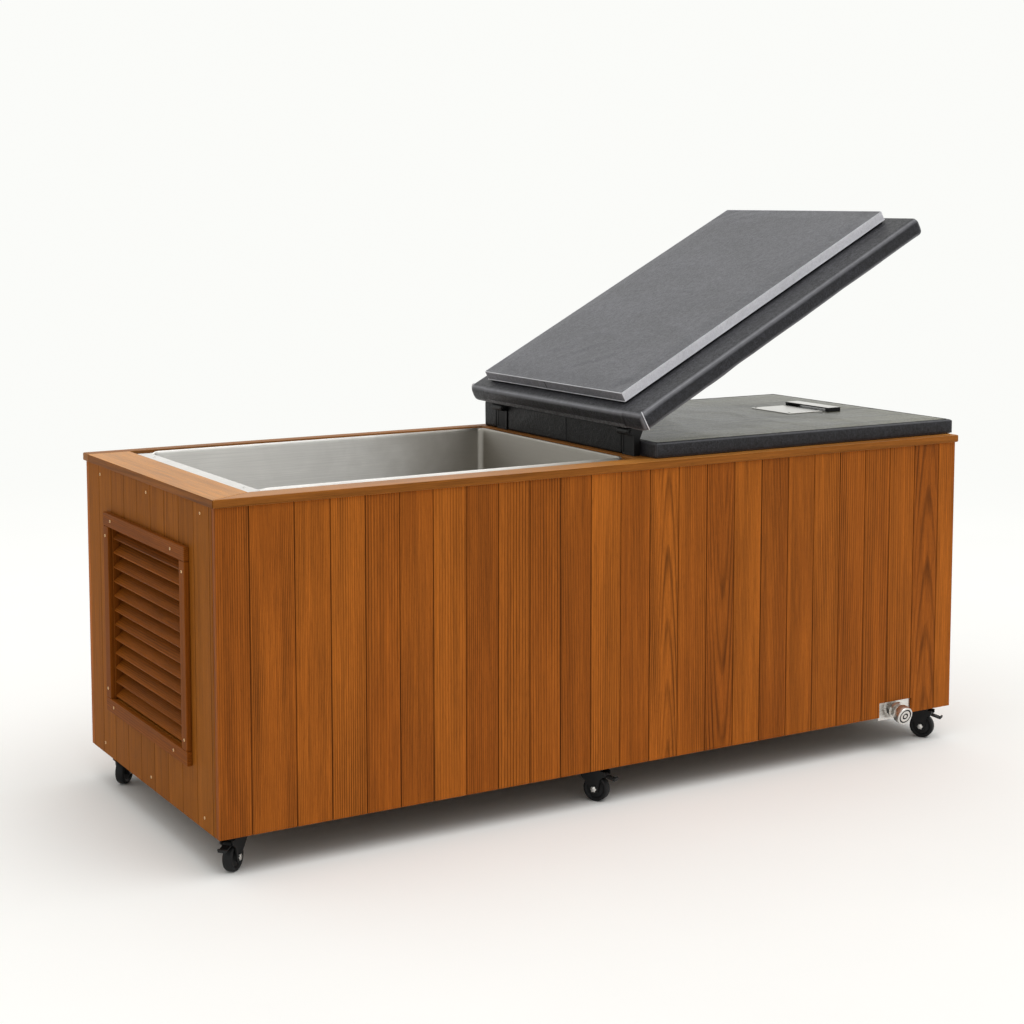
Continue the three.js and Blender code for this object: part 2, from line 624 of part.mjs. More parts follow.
// Drain: a plate in the front's bottom notch, a tilted spout with an elbow behind, and a turning cap
function addDrain(root) {
  const { neckRadius, ringRadius, ringThickness, tipRadius, tipEnd, bevel, elbowDepth } = drain;
  const { knobRadius, knobFront, knobBack } = drain;
  const tilt = drain.tilt * degrees;
  const along = (profile) => turned(profile)
    .rotateX(-Math.PI / 2).rotateX(Math.PI + tilt).translate(drainX, 0, drainZ);
  const neckBack = -elbowDepth / Math.cos(tilt);
  const plateBack = board.thickness / 2;
  const plateFront = plateBack - drain.plateThickness;
  const plate = block(
    drainX - drain.plateWidth / 2, drainX + drain.plateWidth / 2, plateFront, plateBack,
    cladBottom - drain.plateDrop, cladBottom + drain.plateRise,
  );
  const holeRadius = neckRadius + drain.plateClearance;
  const hole = along([[0, neckBack], [holeRadius, neckBack], [holeRadius, tipEnd], [0, tipEnd]]);
  add(root, 'drain_plate', cut(plate, hole), 'steel');

  const ringBack = ringRadius * Math.sin(tilt) - plateFront / Math.cos(tilt) + gap;
  const ringFront = ringBack + ringThickness;
  const spout = along([
    [0, neckBack], [neckRadius, neckBack], [neckRadius, ringBack], [ringRadius, ringBack],
    [ringRadius, ringFront], [neckRadius, ringFront + bevel], [neckRadius, knobBack - gap],
    [tipRadius, knobBack - gap], [tipRadius, tipEnd], [0, tipEnd],
  ]);
  const riser = rodAlongZ(neckRadius, drainX, elbowDepth, drainZ, drainZ + drain.elbowTop);
  add(root, 'drain_spout', join(spout, riser), 'steel');

  const knob = along([
    [0, tipEnd + gap], [tipRadius + gap, tipEnd + gap], [tipRadius + gap, knobBack],
    [knobRadius - 2 * bevel, knobBack], [knobRadius, knobBack + 2 * bevel], [knobRadius, knobFront - bevel],
    [knobRadius - bevel, knobFront], [knobRadius - 3 * bevel, knobFront],
    [knobRadius - 4 * bevel, knobFront - bevel], [knobRadius - 6 * bevel, knobFront - bevel],
    [knobRadius - 7 * bevel, knobFront], [0, knobFront],
  ]);
  add(root, 'drain_knob', knob, 'steel');
}

// Covers: the hinged lid, drawn shut about its pivot and then swung open, and the flat bay cover
function addLid(root) {
  const open = new THREE.Group();
  open.position.set(pivot.x, 0, pivot.z);
  open.rotation.y = lid.openAngle * degrees;
  root.add(open);
  const top = -lid.pivotRise;
  const bottom = top - lid.thickness;
  const y0 = lid.sideInset;
  const y1 = cabinet.width - lid.sideInset;
  const panel = pad(lidLeft - pivot.x, lidRight - pivot.x, y0, y1, bottom, top, lid.edgeRadius);
  add(open, 'lid_panel', panel, 'vinyl');
  const under = pad(
    pool.left + plug.clearance - pivot.x, pool.right - plug.clearance - pivot.x,
    pool.front + plug.clearance, pool.back - plug.clearance,
    bottom - gap - plug.thickness + plug.crown, bottom - gap, plug.edgeRadius, plug.crown,
  );
  add(open, 'lid_plug', under, 'greyVinyl');

  const places = { front: y0 + hinge.inset, back: y1 - hinge.inset };
  for (const [side, y] of Object.entries(places)) {
    const half = hinge.width / 2;
    const leafTop = top + gap + hinge.leafThickness;
    const strap = block(-hinge.leafLength, -hinge.bore - past, y - half, y + half, top + gap, leafTop);
    const knuckle = rodAlongY(hinge.knuckleRadius, 0, y - half, y + half, 0, 16);
    const bore = rodAlongY(hinge.bore, 0, y - half - past, y + half + past, 0, 16);
    add(open, `hinge_leaf_${side}`, cut(join(strap, knuckle), bore), 'blackMetal');
    addBracket(root, side, y);
  }
}

// A bracket stands on the divider board: two cheeks, the pin, and a stop that the leaf rests on
function addBracket(root, side, y) {
  const half = hinge.width / 2 + gap;
  const outer = half + hinge.cheek;
  const back = lidRight + hinge.footClearance;
  const face = coverLeft - gap;
  const rise = 90 * degrees - (180 - lid.openAngle) * degrees;
  const alongLeaf = { x: Math.sin(rise), z: Math.cos(rise) };
  const seat = lid.pivotRise - gap - hinge.leafThickness - gap;
  const onSeat = (reach, drop) => [
    pivot.x + reach * alongLeaf.x - (seat - drop) * alongLeaf.z,
    pivot.z + reach * alongLeaf.z + (seat - drop) * alongLeaf.x,
  ];
  const foot = rimTop + gap;
  const aroundPin = [90, 135, 180, 225, 270].map((turn) => [
    pivot.x + hinge.knuckleRadius * Math.cos(turn * degrees),
    pivot.z + hinge.knuckleRadius * Math.sin(turn * degrees),
  ]);
  const cheekOutline = [
    [back, foot], [face, foot], [face, coverTop + hinge.coverClearance],
    onSeat(hinge.stopReach, hinge.tipDepth), onSeat(hinge.stopReach, 0), onSeat(hinge.knuckleRadius, 0),
    ...aroundPin, [back, pivot.z - hinge.knuckleRadius],
  ];
  const cheeks = [y - outer, y + half].map((start) => sideProfile(cheekOutline, start, start + hinge.cheek));
  const base = block(back, face, y - outer, y + outer, foot, foot + hinge.base);
  const pinEnd = outer + hinge.pinHead;
  const pin = rodAlongY(hinge.pinRadius, pivot.x, y - pinEnd, y + pinEnd, pivot.z);
  const stopStart = hinge.stopReach - hinge.stopWidth;
  const stop = sideProfile([
    onSeat(hinge.stopReach, 0), onSeat(stopStart, 0),
    onSeat(stopStart, hinge.stopThickness), onSeat(hinge.stopReach, hinge.stopThickness),
  ], y - outer, y + outer);
  add(root, `hinge_bracket_${side}`, join(...cheeks, base, pin, stop), 'blackMetal');
}

function addBayCover(root) {
  const right = cabinet.length + rim.overhang - cover.rightInset;
  const y0 = cover.frontInset;
  const y1 = cabinet.width - cover.backInset;
  const flat = pad(coverLeft, right, y0, y1, rimTop + gap, coverTop, cover.edgeRadius);
  add(root, 'bay_cover', flat, 'vinyl');
  const middle = cabinet.width / 2;
  const seat = coverTop + gap;
  const plateRight = right - handle.plateInset;
  const plate = block(
    plateRight - handle.plateLength, plateRight,
    middle - handle.plateWidth / 2, middle + handle.plateWidth / 2, seat, seat + handle.plateThickness,
  );
  add(root, 'handle_plate', plate, 'steel');
  const barLeft = plateRight + handle.barGap;
  const bow = block(
    barLeft, barLeft + handle.barWidth,
    middle - handle.barLength / 2, middle + handle.barLength / 2, seat, seat + handle.barRise,
  );
  const fingers = block(
    barLeft - past, barLeft + handle.barWidth + past,
    middle - handle.barLength / 2 + handle.barFoot, middle + handle.barLength / 2 - handle.barFoot,
    seat - past, seat + handle.barRise - handle.barThickness,
  );
  add(root, 'handle_bar', cut(bow, fingers), 'steel');
}

// Casters: plate, swivelling fork and wheel, drawn trailing along +X from the swivel axis
const wheelHeight = caster.wheelRadius * Math.cos(Math.PI / caster.sides);
const pedalPivot = { x: caster.trail + caster.pedalFromAxle, z: crownBottom - caster.pedalDrop };

function casterPlate() {
  const { plateLength, plateWidth, bossRadius, bossHeight, kingpinRadius } = caster;
  const plate = block(
    -plateLength / 2, plateLength / 2, -plateWidth / 2, plateWidth / 2, plateBottom, deckBottom - gap,
  );
  const boss = rodAlongZ(bossRadius, 0, 0, plateBottom - bossHeight, plateBottom + past);
  const kingpin = rodAlongZ(kingpinRadius, 0, 0, crownBottom, plateBottom, 12);
  return join(plate, boss, kingpin);
}

function casterFork(braked) {
  const { trail, crownRadius, legThickness, wheelWidth, axleRadius, boltRadius, boltHeight } = caster;
  const { legRoot, legEye, legBrow, legHaunch, legDepth, bridge } = caster;
  const inner = wheelWidth / 2 + caster.legClearance;
  const outer = inner + legThickness;
  const crown = rodAlongZ(crownRadius, 0, 0, crownBottom, crownTop);
  const leg = [
    [-legRoot, crownTop], [legRoot, crownTop], [trail + legBrow, crownBottom],
    [trail + legBrow, crownBottom - legDepth / 2], [trail + legHaunch, crownBottom - legDepth],
    [trail + legEye, wheelHeight - legEye], [trail - legEye, wheelHeight - legEye],
    [trail - legHaunch, wheelHeight + legEye], [-legRoot, crownBottom - bridge],
  ];
  const legs = [-outer, inner].map((start) => sideProfile(leg, start, start + legThickness));
  const bridgeBlock = block(-legHaunch, trail + legHaunch, -outer, outer, crownBottom, crownBottom + bridge);
  const axle = rodAlongY(axleRadius, trail, -outer - past, outer + past, wheelHeight);
  const bolts = [-outer - boltHeight, outer - 1].map((start) => (
    rodAlongY(boltRadius, trail, start, start + boltHeight + past, wheelHeight, 6)
  ));
  const pieces = [crown, ...legs, bridgeBlock, axle, ...bolts];
  if (braked) pieces.push(rodAlongY(caster.pedalPin, pedalPivot.x, -outer, outer, pedalPivot.z, 12));
  const kingpinHole = rodAlongZ(caster.kingpinRadius + gap, 0, 0, crownBottom - past, crownTop + past, 12);
  return cut(join(...pieces), kingpinHole);
}

function casterWheel() {
  const { wheelRadius, wheelWidth, axleRadius, trail, sides } = caster;
  const { boreClearance, hubRadius, webRadius, webDepth, treadBevel } = caster;
  const half = wheelWidth / 2;
  const bore = axleRadius + boreClearance;
  const halfProfile = [
    [bore, half], [hubRadius, half], [hubRadius + webDepth, half - webDepth], [webRadius, half],
    [wheelRadius - treadBevel, half], [wheelRadius, half - treadBevel],
  ];
  const mirrored = halfProfile.map(([radius, height]) => [radius, -height]);
  const wheel = turned([...mirrored, ...halfProfile.reverse(), mirrored[0]], sides);
  return wheel.rotateX(Math.PI / 2).rotateY(Math.PI / sides).translate(trail, 0, wheelHeight);
}

function brakePedal() {
  const { pedalReach, pedalThickness, pedalToe, pedalBore, pedalEye } = caster;
  const half = caster.pedalWidth / 2;
  const eye = rodAlongY(pedalEye, 0, -half, half, 0);
  const arm = block(pedalBore, pedalReach, -half, half, -pedalThickness, 0);
  const toe = block(pedalReach - pedalToe, pedalReach, -half, half, -pedalThickness, pedalToe);
  const lever = join(arm, toe).rotateY(caster.pedalTilt * degrees);
  const bore = rodAlongY(pedalBore, 0, -half - past, half + past, 0, 12);
  return cut(join(eye, lever), bore).translate(pedalPivot.x, 0, pedalPivot.z);
}

const casterEnds = { left: caster.endInset, right: cabinet.length - caster.endInset };
const casterSides = { front: caster.sideInset, back: cabinet.width - caster.sideInset };
const casterPlaces = {
  front_left: { x: casterEnds.left, y: casterSides.front, yaw: -139, braked: true },
  front_middle: { x: caster.middle, y: casterSides.front, yaw: -60, braked: true },
  front_right: { x: casterEnds.right, y: casterSides.front, yaw: -60, braked: true },
  back_left: { x: casterEnds.left, y: casterSides.back, yaw: -134, braked: false },
  back_middle: { x: caster.middle, y: casterSides.back, yaw: -75, braked: false },
  back_right: { x: casterEnds.right, y: casterSides.back, yaw: -50, braked: false },
};

function addCasters(root) {
  for (const [place, { x, y, yaw, braked }] of Object.entries(casterPlaces)) {
    const fixed = new THREE.Group();
    fixed.position.set(x, y, 0);
    const turning = new THREE.Group();
    turning.rotation.z = yaw * degrees;
    fixed.add(turning);
    root.add(fixed);
    add(fixed, `caster_plate_${place}`, casterPlate(), 'blackMetal');
    add(turning, `caster_fork_${place}`, casterFork(braked), 'blackMetal');
    add(turning, `caster_wheel_${place}`, casterWheel(), 'rubber');
    if (braked) add(turning, `brake_pedal_${place}`, brakePedal(), 'blackPlastic');
  }
}

const tub = new THREE.Group();
tub.name = 'cold_plunge_tub';
addCabinet(tub);
addRim(tub);
addLouvre(tub);
addBasin(tub);
addPump(tub);
addChiller(tub);
addHoses(tub);
addInlet(tub);
addDrain(tub);
addLid(tub);
addBayCover(tub);
addCasters(tub);

// The origin is on the floor, under the middle of the whole object's box
const drainTilt = drain.tilt * degrees;
const drainReach = drain.knobFront * Math.cos(drainTilt) + drain.knobRadius * Math.sin(drainTilt);
tub.position.x = -(cabinet.length + rim.overhang - louvre.proud - gap) / 2;
tub.position.y = -(cabinet.width + rim.overhang - drainReach) / 2;

export default tub;
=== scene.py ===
"""Looks of a cold plunge tub: a timber cabinet with a steel basin, padded covers, casters and plant.

The file is laid out as an add-on and run as a script. It builds each visual piece round the packed
frame, in metres, and lets it ride on the frame's bodies.
"""

import json
import math
import random

import bmesh
import bpy
from bpy.props import FloatProperty, FloatVectorProperty, IntProperty, PointerProperty
from mathutils import Matrix, Vector, noise

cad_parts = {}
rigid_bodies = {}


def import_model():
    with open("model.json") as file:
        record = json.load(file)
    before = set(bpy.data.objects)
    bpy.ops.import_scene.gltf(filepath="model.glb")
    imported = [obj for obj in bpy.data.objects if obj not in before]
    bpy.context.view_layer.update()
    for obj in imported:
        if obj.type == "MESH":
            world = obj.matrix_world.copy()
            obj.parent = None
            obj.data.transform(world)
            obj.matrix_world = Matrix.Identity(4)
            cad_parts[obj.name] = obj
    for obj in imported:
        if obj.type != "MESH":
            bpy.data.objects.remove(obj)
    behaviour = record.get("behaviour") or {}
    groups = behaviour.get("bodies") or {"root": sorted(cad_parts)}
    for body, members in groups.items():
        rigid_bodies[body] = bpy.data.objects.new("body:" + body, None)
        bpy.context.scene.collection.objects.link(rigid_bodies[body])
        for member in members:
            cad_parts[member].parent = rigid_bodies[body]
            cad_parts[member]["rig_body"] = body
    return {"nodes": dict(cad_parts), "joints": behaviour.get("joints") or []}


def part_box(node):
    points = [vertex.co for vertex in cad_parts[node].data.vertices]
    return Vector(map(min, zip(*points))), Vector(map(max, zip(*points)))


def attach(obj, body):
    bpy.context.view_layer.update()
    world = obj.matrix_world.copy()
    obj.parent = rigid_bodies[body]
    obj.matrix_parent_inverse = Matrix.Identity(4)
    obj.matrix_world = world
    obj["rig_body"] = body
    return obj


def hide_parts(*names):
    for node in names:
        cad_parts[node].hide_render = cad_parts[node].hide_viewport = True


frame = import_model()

bl_info = {
    "name": "Cold Plunge Tub Looks",
    "version": (1, 0, 0),
    "blender": (4, 5, 0),
    "location": "View3D > Sidebar > Plunge Tub",
    "description": "Builds the visual pieces of a cold plunge tub round its packed frame",
    "category": "Object",
}

MM = 0.001
NODES = frame["nodes"]
JOINTS = {joint["name"]: joint for joint in frame["joints"]}
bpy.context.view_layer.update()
CASTERS = [name.removeprefix("caster_plate_") for name in sorted(NODES) if name.startswith("caster_plate_")]
IMAGE_SIDE = 1024  # pixels, the photograph's frame
WHITE = (0.965, 0.97, 0.945)  # the background behind the tub
END_SCREW_HEIGHTS = (0.027, 0.679)  # metres above the bottom of the cladding
END_SCREW_DEPTHS = (0.080, 0.406, 0.722)  # metres behind the front face

# The lid stands open in the frame; its pieces are drawn shut and then swung about the hinge
HINGE = JOINTS["lid_hinge"]
PIVOT = Vector(HINGE["pos_m"])
LID_OPENING = math.radians(-HINGE["range_deg"][0])
LID_SWING = (
    Matrix.Translation(PIVOT) @ Matrix.Rotation(LID_OPENING, 4, "Y") @ Matrix.Translation(-PIVOT)
)


def length(name, description, default):
    """A size in metres for a property group."""
    return FloatProperty(name=name, description=description, default=default, precision=4, unit="LENGTH")


def colour(name, description, default):
    """A colour, as linear red, green and blue, for a property group."""
    return FloatVectorProperty(
        name=name, description=description, default=default, size=3, subtype="COLOR", min=0.0, max=1.0
    )


def tilt(name, description, degrees):
    """An angle for a property group, given in degrees."""
    return FloatProperty(
        name=name, description=description, default=math.radians(degrees), subtype="ANGLE"
    )


def scalar(name, description, default):
    """A plain number for a property group."""
    return FloatProperty(name=name, description=description, default=default)


class TUB_PG_timber(bpy.types.PropertyGroup):
    """Boards of the cabinet, the rim and the louvre."""

    first_board: length("First board", "Width of the front's first board, from the left", 0.075)
    second_board: length("Second board", "Width of the front's second board", 0.103)
    board_pitch: length("Board pitch", "Width of the other boards", 0.0825)
    end_first: length("End trim", "From the front face to the first joint on an end", 0.032)
    end_pitch: length("End pitch", "Width of the boards on the ends", 0.0875)
    joint_gap: length("Joint gap", "Gap between two boards of a long side", 0.0007)
    end_gap: length("End gap", "Gap between two boards of an end", 0.0004)
    board_edge: length("Board edge", "Rounding of a board's edges", 0.0014)
    tongue: length("Tongue", "Depth of the tongue behind a joint", 0.006)
    rim_edge: length("Rim edge", "Rounding of the rim's edges", 0.0026)
    slat_edge: length("Slat edge", "Rounding of a slat's edges", 0.0022)
    slat_depth: length("Slat depth", "Size of a slat across its tilt", 0.034)
    slat_thickness: length("Slat thickness", "Thickness of a slat", 0.006)
    slat_tilt: tilt("Slat tilt", "Angle of the slats", 40)
    slats: IntProperty(name="Slats", description="Slats in the louvre", default=12, min=1)
    strip: length("Side strip", "Width of the strips that hold the slats", 0.006)
    screw_radius: length("Screw radius", "Radius of a brass screw head", 0.0034)
    ring_spacing: length("Ring spacing", "Usual distance between two growth rings", 0.0056)
    umber: colour("Umber", "Darkest boards", (0.235, 0.061, 0.0065))
    russet: colour("Russet", "Usual boards", (0.308, 0.082, 0.0085))
    amber: colour("Amber", "Lightest boards", (0.38, 0.109, 0.012))
    # Partly painted shade: the end boards are browner than the front's, which is their own colour, and
    # darker, standing in for the shade on the ends.
    end_dark: colour("End shade", "Darker boards of the ends", (0.235, 0.072, 0.008))
    end_light: colour("End brown", "Lighter boards of the ends", (0.32, 0.104, 0.0125))
    louvre_dark: colour("Louvre shade", "Darker louvre timber", (0.150, 0.039, 0.0042))
    louvre_light: colour("Louvre red", "Lighter louvre timber", (0.255, 0.072, 0.0085))
    rim_dark: colour("Rim shade", "Darker rim timber", (0.37, 0.132, 0.02))
    # Painted shade: darker timber for the back rim and the divider, standing in for the shade under the open
    # lid.
    rim_back: colour("Back rim", "Rim timber along the back", (0.200, 0.088, 0.0300))
    # Painted light and shade: the rim's upright faces are darker than its top, the front rim's lighter than
    # the ends', for light falling from above and the front-right.
    lit_front_side: colour("Edge tan", "Upright faces of the front rim", (0.3, 0.102, 0.018))
    shaded_end_side: colour("Edge brown", "Upright faces of the end rims", (0.165, 0.054, 0.009))
    rim_light: colour("Rim tan", "Lighter rim timber", (0.635, 0.272, 0.053))


class TUB_PG_padding(bpy.types.PropertyGroup):
    """Padded covers and their vinyl."""

    cell: length("Cell", "Size of a pad's grid cells", 0.011)
    panel_edge: length("Lid edge", "Rounding of the lid panel", 0.0150)
    plug_edge: length("Inner pad edge", "Rounding of the lid's inner pad", 0.0035)
    cover_edge: length("Cover edge", "Rounding of the bay cover", 0.0060)
    border: length("Border", "Width of the bay cover's edge band on its top", 0.0095)
    # The gap holds a black band, painted shade for the shadow there.
    recess: length("Recess", "Height of the dark gap between the inner pad and the panel", 0.0050)
    apron_rise: length("Apron rise", "How far the apron behind the hinges stands over the bay cover", 0.029)
    crease_width: length("Crease width", "Half the width of a crease in the inner pad's sheet", 0.013)
    crease_depth: length("Crease depth", "Depth of a crease in the inner pad's sheet", 0.0016)
    swell: length("Swell", "Most that a pad's skin may rise", 0.0045)
    ear: length("Ear", "Width of the folded corners at the hinge end", 0.078)
    ear_slant: length("Ear slant", "How far a fold leans along its height", 0.016)
    ear_bulge: length("Ear bulge", "How far the folded corners stand out", 0.006)
    flap: length("Flap", "How far the end flap stands proud", 0.0011)
    hem: length("Hem", "Height of the hem strip at the hinge end", 0.010)
    hem_split: length("Hem split", "From the lid's middle to the split in its hem", 0.027)
    seam_offset: length("Seam offset", "From the inner pad's middle to the seam in its end", 0.024)
    welt: length("Welt", "Radius of the sewn edges", 0.0012)
    pebble: length("Pebble", "Size of the vinyl's pebbles", 0.0030)
    charcoal: colour("Charcoal", "Sheet of the inner pad", (0.137, 0.137, 0.15))
    # Painted shade: the inner pad's hinge end is a darker grey than its silver side band, standing in for the
    # shade on that face.
    shaded_end_grey: colour("Slate", "Hinge end of the inner pad", (0.205, 0.203, 0.225))
    black: colour("Black", "Vinyl of the lid and the cover's sides", (0.0145, 0.0145, 0.0185))
    # Painted light: the lid panel's inner face is a lighter black than its sides, standing in for the light
    # on that face.
    lit_border_black: colour("Worn black", "Inner face of the lid panel", (0.045, 0.045, 0.051))
    apron: colour("Apron", "Vinyl of the apron behind the hinges", (0.007, 0.007, 0.008))
    moss: colour("Moss grey", "Top of the bay cover", (0.091, 0.086, 0.048))
    silver: colour("Silver", "Side band of the inner pad", (0.88, 0.875, 0.93))
    hem_grey: colour("Hem grey", "Sewn edges and hems", (0.74, 0.74, 0.78))
    strip_grey: colour("Strip grey", "Hem strip of the lid's hinge end", (0.095, 0.095, 0.102))


class TUB_PG_metal(bpy.types.PropertyGroup):
    """Steel, brass and black metal."""

    lip: length("Lip", "Width of the rolled lip round the basin", 0.012)
    lip_clearance: length("Lip clearance", "From the top of the lip to the top of the rim", 0.0009)
    floor_fillet: length("Floor fillet", "Rounding from the walls to the floor", 0.022)
    plate_edge: length("Plate edge", "Rounding of plates and brackets", 0.0007)
    bolt_radius: length("Bolt radius", "Radius of an axle bolt's head", 0.0076)
    bolt_side: length("Bolt side", "Height of the straight sides of an axle bolt's head", 0.0032)
    bolt_height: length("Bolt height", "Height of an axle bolt's head", 0.0040)
    bolt_reach: length("Bolt reach", "From a wheel's middle to the top of a bolt's straight sides", 0.0187)
    wheel_half: length("Half wheel", "Half the width of a caster wheel", 0.011)
    basin_corner: length("Basin corner", "Rounding between two walls of the basin", 0.016)
    cap_radius: length("Cap radius", "Radius of the drain cap", 0.024)
    cap_back: length("Cap back", "From the drain's turning point to the cap's back", 0.017)
    cap_front: length("Cap front", "From the drain's turning point to the cap's face", 0.039)
    # The cap's grooves are lined with black rubber, painted shade for the shade in them.
    cap_groove: length("Cap groove", "Depth of the rubber rings in the cap's face", 0.0022)
    # Painted shade: where the basin's steel starts and ends darkening towards the hinge end, standing in for
    # the open lid's shade.
    patina_start: length("Patina start", "Where along the tub the basin's duller steel begins", -0.42)
    patina_end: length("Patina end", "Where along the tub the basin's steel is all dull", -0.02)
    steel: colour("Steel", "Stainless steel fittings", (0.74, 0.725, 0.695))
    basin_steel: colour("Basin steel", "Brushed sheet of the basin", (0.88, 0.866, 0.838))
    # Painted shade: a darker copy of the basin steel for the flange's flat and the flattened lip at the left
    # end, which face the lamp.
    shaded_flange_steel: colour("Flange steel", "Duller flat of the basin's flange", (0.67, 0.658, 0.638))
    # Painted shade: the darker steel at the basin's hinge end, standing in for the open lid's shade.
    patina: colour("Patina", "Duller sheet at the basin's hinge end", (0.47, 0.445, 0.405))
    brass: colour("Brass", "Screw heads", (0.84, 0.58, 0.30))
    black_metal: colour("Black metal", "Painted brackets and forks", (0.0075, 0.0075, 0.0080))


class TUB_PG_plant(bpy.types.PropertyGroup):
    """Plant in the bay, and what carries it."""

    casing: colour("Casing", "Painted chiller case", (0.56, 0.58, 0.60))
    filter_blue: colour("Filter blue", "Filter housing", (0.045, 0.105, 0.215))
    plastic: colour("Plastic", "Pump, fan and inlet", (0.0090, 0.0090, 0.0095))
    rubber: colour("Rubber", "Tyres and hoses", (0.0065, 0.0065, 0.0070))
    foam: colour("Foam", "Basin jacket", (0.62, 0.54, 0.36))
    # Painted shade: the deck is darkened and browned so little light bounces under the tub, deepening the
    # floor's contact shadow.
    plywood: colour("Plywood", "Sealed base deck", (0.098, 0.054, 0.02))


class TUB_PG_stage(bpy.types.PropertyGroup):
    """Camera, floor and lamps."""

    eye: FloatVectorProperty(
        name="Eye", description="Camera position", default=(-2.43235, -3.95376, 1.4198),
        subtype="XYZ", unit="LENGTH",
    )
    heading: tilt("Heading", "Camera heading from +Y", 30.761)
    dip: tilt("Dip", "Camera angle below the horizon", 5.581)
    focal: scalar("Focal length", "In pixels of the photograph", 1871.6)
    axis_row: scalar("Axis row", "Pixel row of the optical axis", 380.0)
    floor_size: length("Floor size", "Side of the floor", 40.0)
    floor: colour("Floor", "Floor and background", (0.985, 0.98, 0.968))
    horizon: scalar("Horizon", "Strength of the world's light near the floor", 0.12)
    zenith: scalar("Zenith", "Strength of the world's light overhead", 1.15)
    key: scalar("Key", "Strength of the broad overhead lamp", 0.9)
    key_spread: tilt("Key spread", "How broad the overhead lamp is", 50)
    key_direction: FloatVectorProperty(
        name="Key direction", description="Where the overhead lamp points", default=(-0.12, 0.34, -1.0),
        subtype="DIRECTION",
    )
    fade_start: length("Fade start", "Distance from the tub at which the floor turns to white", 2.2)
    fade_end: length("Fade end", "Distance at which the floor is all white", 5.5)


# Meshes


def new_piece(name, mesh, materials, body, nodes=()):
    """Links a mesh as a piece that rides on a body and stands for the named nodes."""
    piece = bpy.data.objects.new(name, mesh)
    bpy.context.scene.collection.objects.link(piece)
    for material in materials:
        mesh.materials.append(material)
    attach(piece, body)
    if nodes:
        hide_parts(*nodes)
    return piece


def smooth(mesh, angle=35):
    """Smooth shading with creases over an angle in degrees."""
    mesh.shade_smooth()
    mesh.set_sharp_from_angle(angle=math.radians(angle))


def mesh_from(name, bm, angle=35):
    """Turns a bmesh into a smooth-shaded mesh."""
    bmesh.ops.recalc_face_normals(bm, faces=bm.faces)
    mesh = bpy.data.meshes.new(name)
    bm.to_mesh(mesh)
    bm.free()
    smooth(mesh, angle)
    return mesh


def flat_faces(piece):
    """Shades a piece's broad faces flat beside their rounded edges."""
    piece.modifiers.new("Flat faces", "WEIGHTED_NORMAL").keep_sharp = True
    return piece


def bevel_sharp(bm, width, segments=2, angle=30):
    """Rounds every edge of a bmesh that turns by more than an angle in degrees."""
    limit = math.radians(angle)
    sharp = [e for e in bm.edges if len(e.link_faces) == 2 and e.calc_face_angle(0.0) > limit]
    bmesh.ops.bevel(
        bm, geom=sharp, offset=width, segments=segments, profile=0.5, affect="EDGES", clamp_overlap=True
    )


def add_prism(bm, outline, depth, place):
    """Adds an outline of (x, z) points, extruded along y by a depth, placed by a matrix."""
    front = [bm.verts.new(place @ Vector((x, 0.0, z))) for x, z in outline]
    back = [bm.verts.new(place @ Vector((x, depth, z))) for x, z in outline]
    faces = [bm.faces.new(front), bm.faces.new(back[::-1])]
    for i in range(len(outline)):
        j = (i + 1) % len(outline)
        faces.append(bm.faces.new((front[i], back[i], back[j], front[j])))
    return front + back, faces


def add_box(bm, lo, hi, place=None):
    """Adds a box between two corners."""
    outline = [(lo[0], lo[2]), (hi[0], lo[2]), (hi[0], hi[2]), (lo[0], hi[2])]
    shift = Matrix.Translation((0.0, lo[1], 0.0))
    return add_prism(bm, outline, hi[1] - lo[1], place @ shift if place else shift)


def add_lathe(bm, profile, place, segments=64, material=0):
    """Adds a profile of (radius, height) points turned about z, placed by a matrix."""
    rings = []
    for radius, height in profile:
        if radius < 1e-6:
            rings.append([bm.verts.new(place @ Vector((0.0, 0.0, height)))])
            continue
        turn = 2 * math.pi / segments
        rings.append([
            bm.verts.new(place @ Vector((radius * math.cos(i * turn), radius * math.sin(i * turn), height)))
            for i in range(segments)
        ])
    for lower, upper in zip(rings, rings[1:]):
        for i in range(segments):
            j = (i + 1) % segments
            corners = [ring[k % len(ring)] for ring, k in ((lower, i), (lower, j), (upper, j), (upper, i))]
            unique = list(dict.fromkeys(corners))
            if len(unique) > 2:
                bm.faces.new(unique).material_index = material
    return rings


def add_tube(bm, points, radius, sides=10, closed=False):
    """Adds a round tube along points, with flat ends unless it is closed."""
    points = [Vector(p) for p in points]
    count = len(points)
    normal = None
    rings = []
    for i, point in enumerate(points):
        before = points[i - 1] if closed or i else point
        after = points[(i + 1) % count] if closed or i < count - 1 else point
        tangent = (after - before).normalized()
        if normal is None:
            normal = tangent.orthogonal().normalized()
        normal = (normal - tangent * normal.dot(tangent)).normalized()
        other = tangent.cross(normal)
        turn = 2 * math.pi / sides
        rings.append([
            bm.verts.new(point + (normal * math.cos(k * turn) + other * math.sin(k * turn)) * radius)
            for k in range(sides)
        ])
    pairs = list(zip(rings, rings[1:]))
    if closed:
        pairs.append((rings[-1], rings[0]))
    for first, second in pairs:
        for k in range(sides):
            m = (k + 1) % sides
            bm.faces.new((first[k], first[m], second[m], second[k]))
    if not closed:
        bm.faces.new(rings[0][::-1])
        bm.faces.new(rings[-1])


def facing(direction, at):
    """A matrix that puts local z along a direction, at a point."""
    turn = Vector(direction).normalized().to_track_quat("Z", "Y").to_matrix().to_4x4()
    return Matrix.Translation(at) @ turn


def axes(across, inward, along, at):
    """A matrix that maps local x, y and z to three directions, at a point."""
    columns = Matrix((across, inward, along)).transposed().to_4x4()
    return Matrix.Translation(at) @ columns


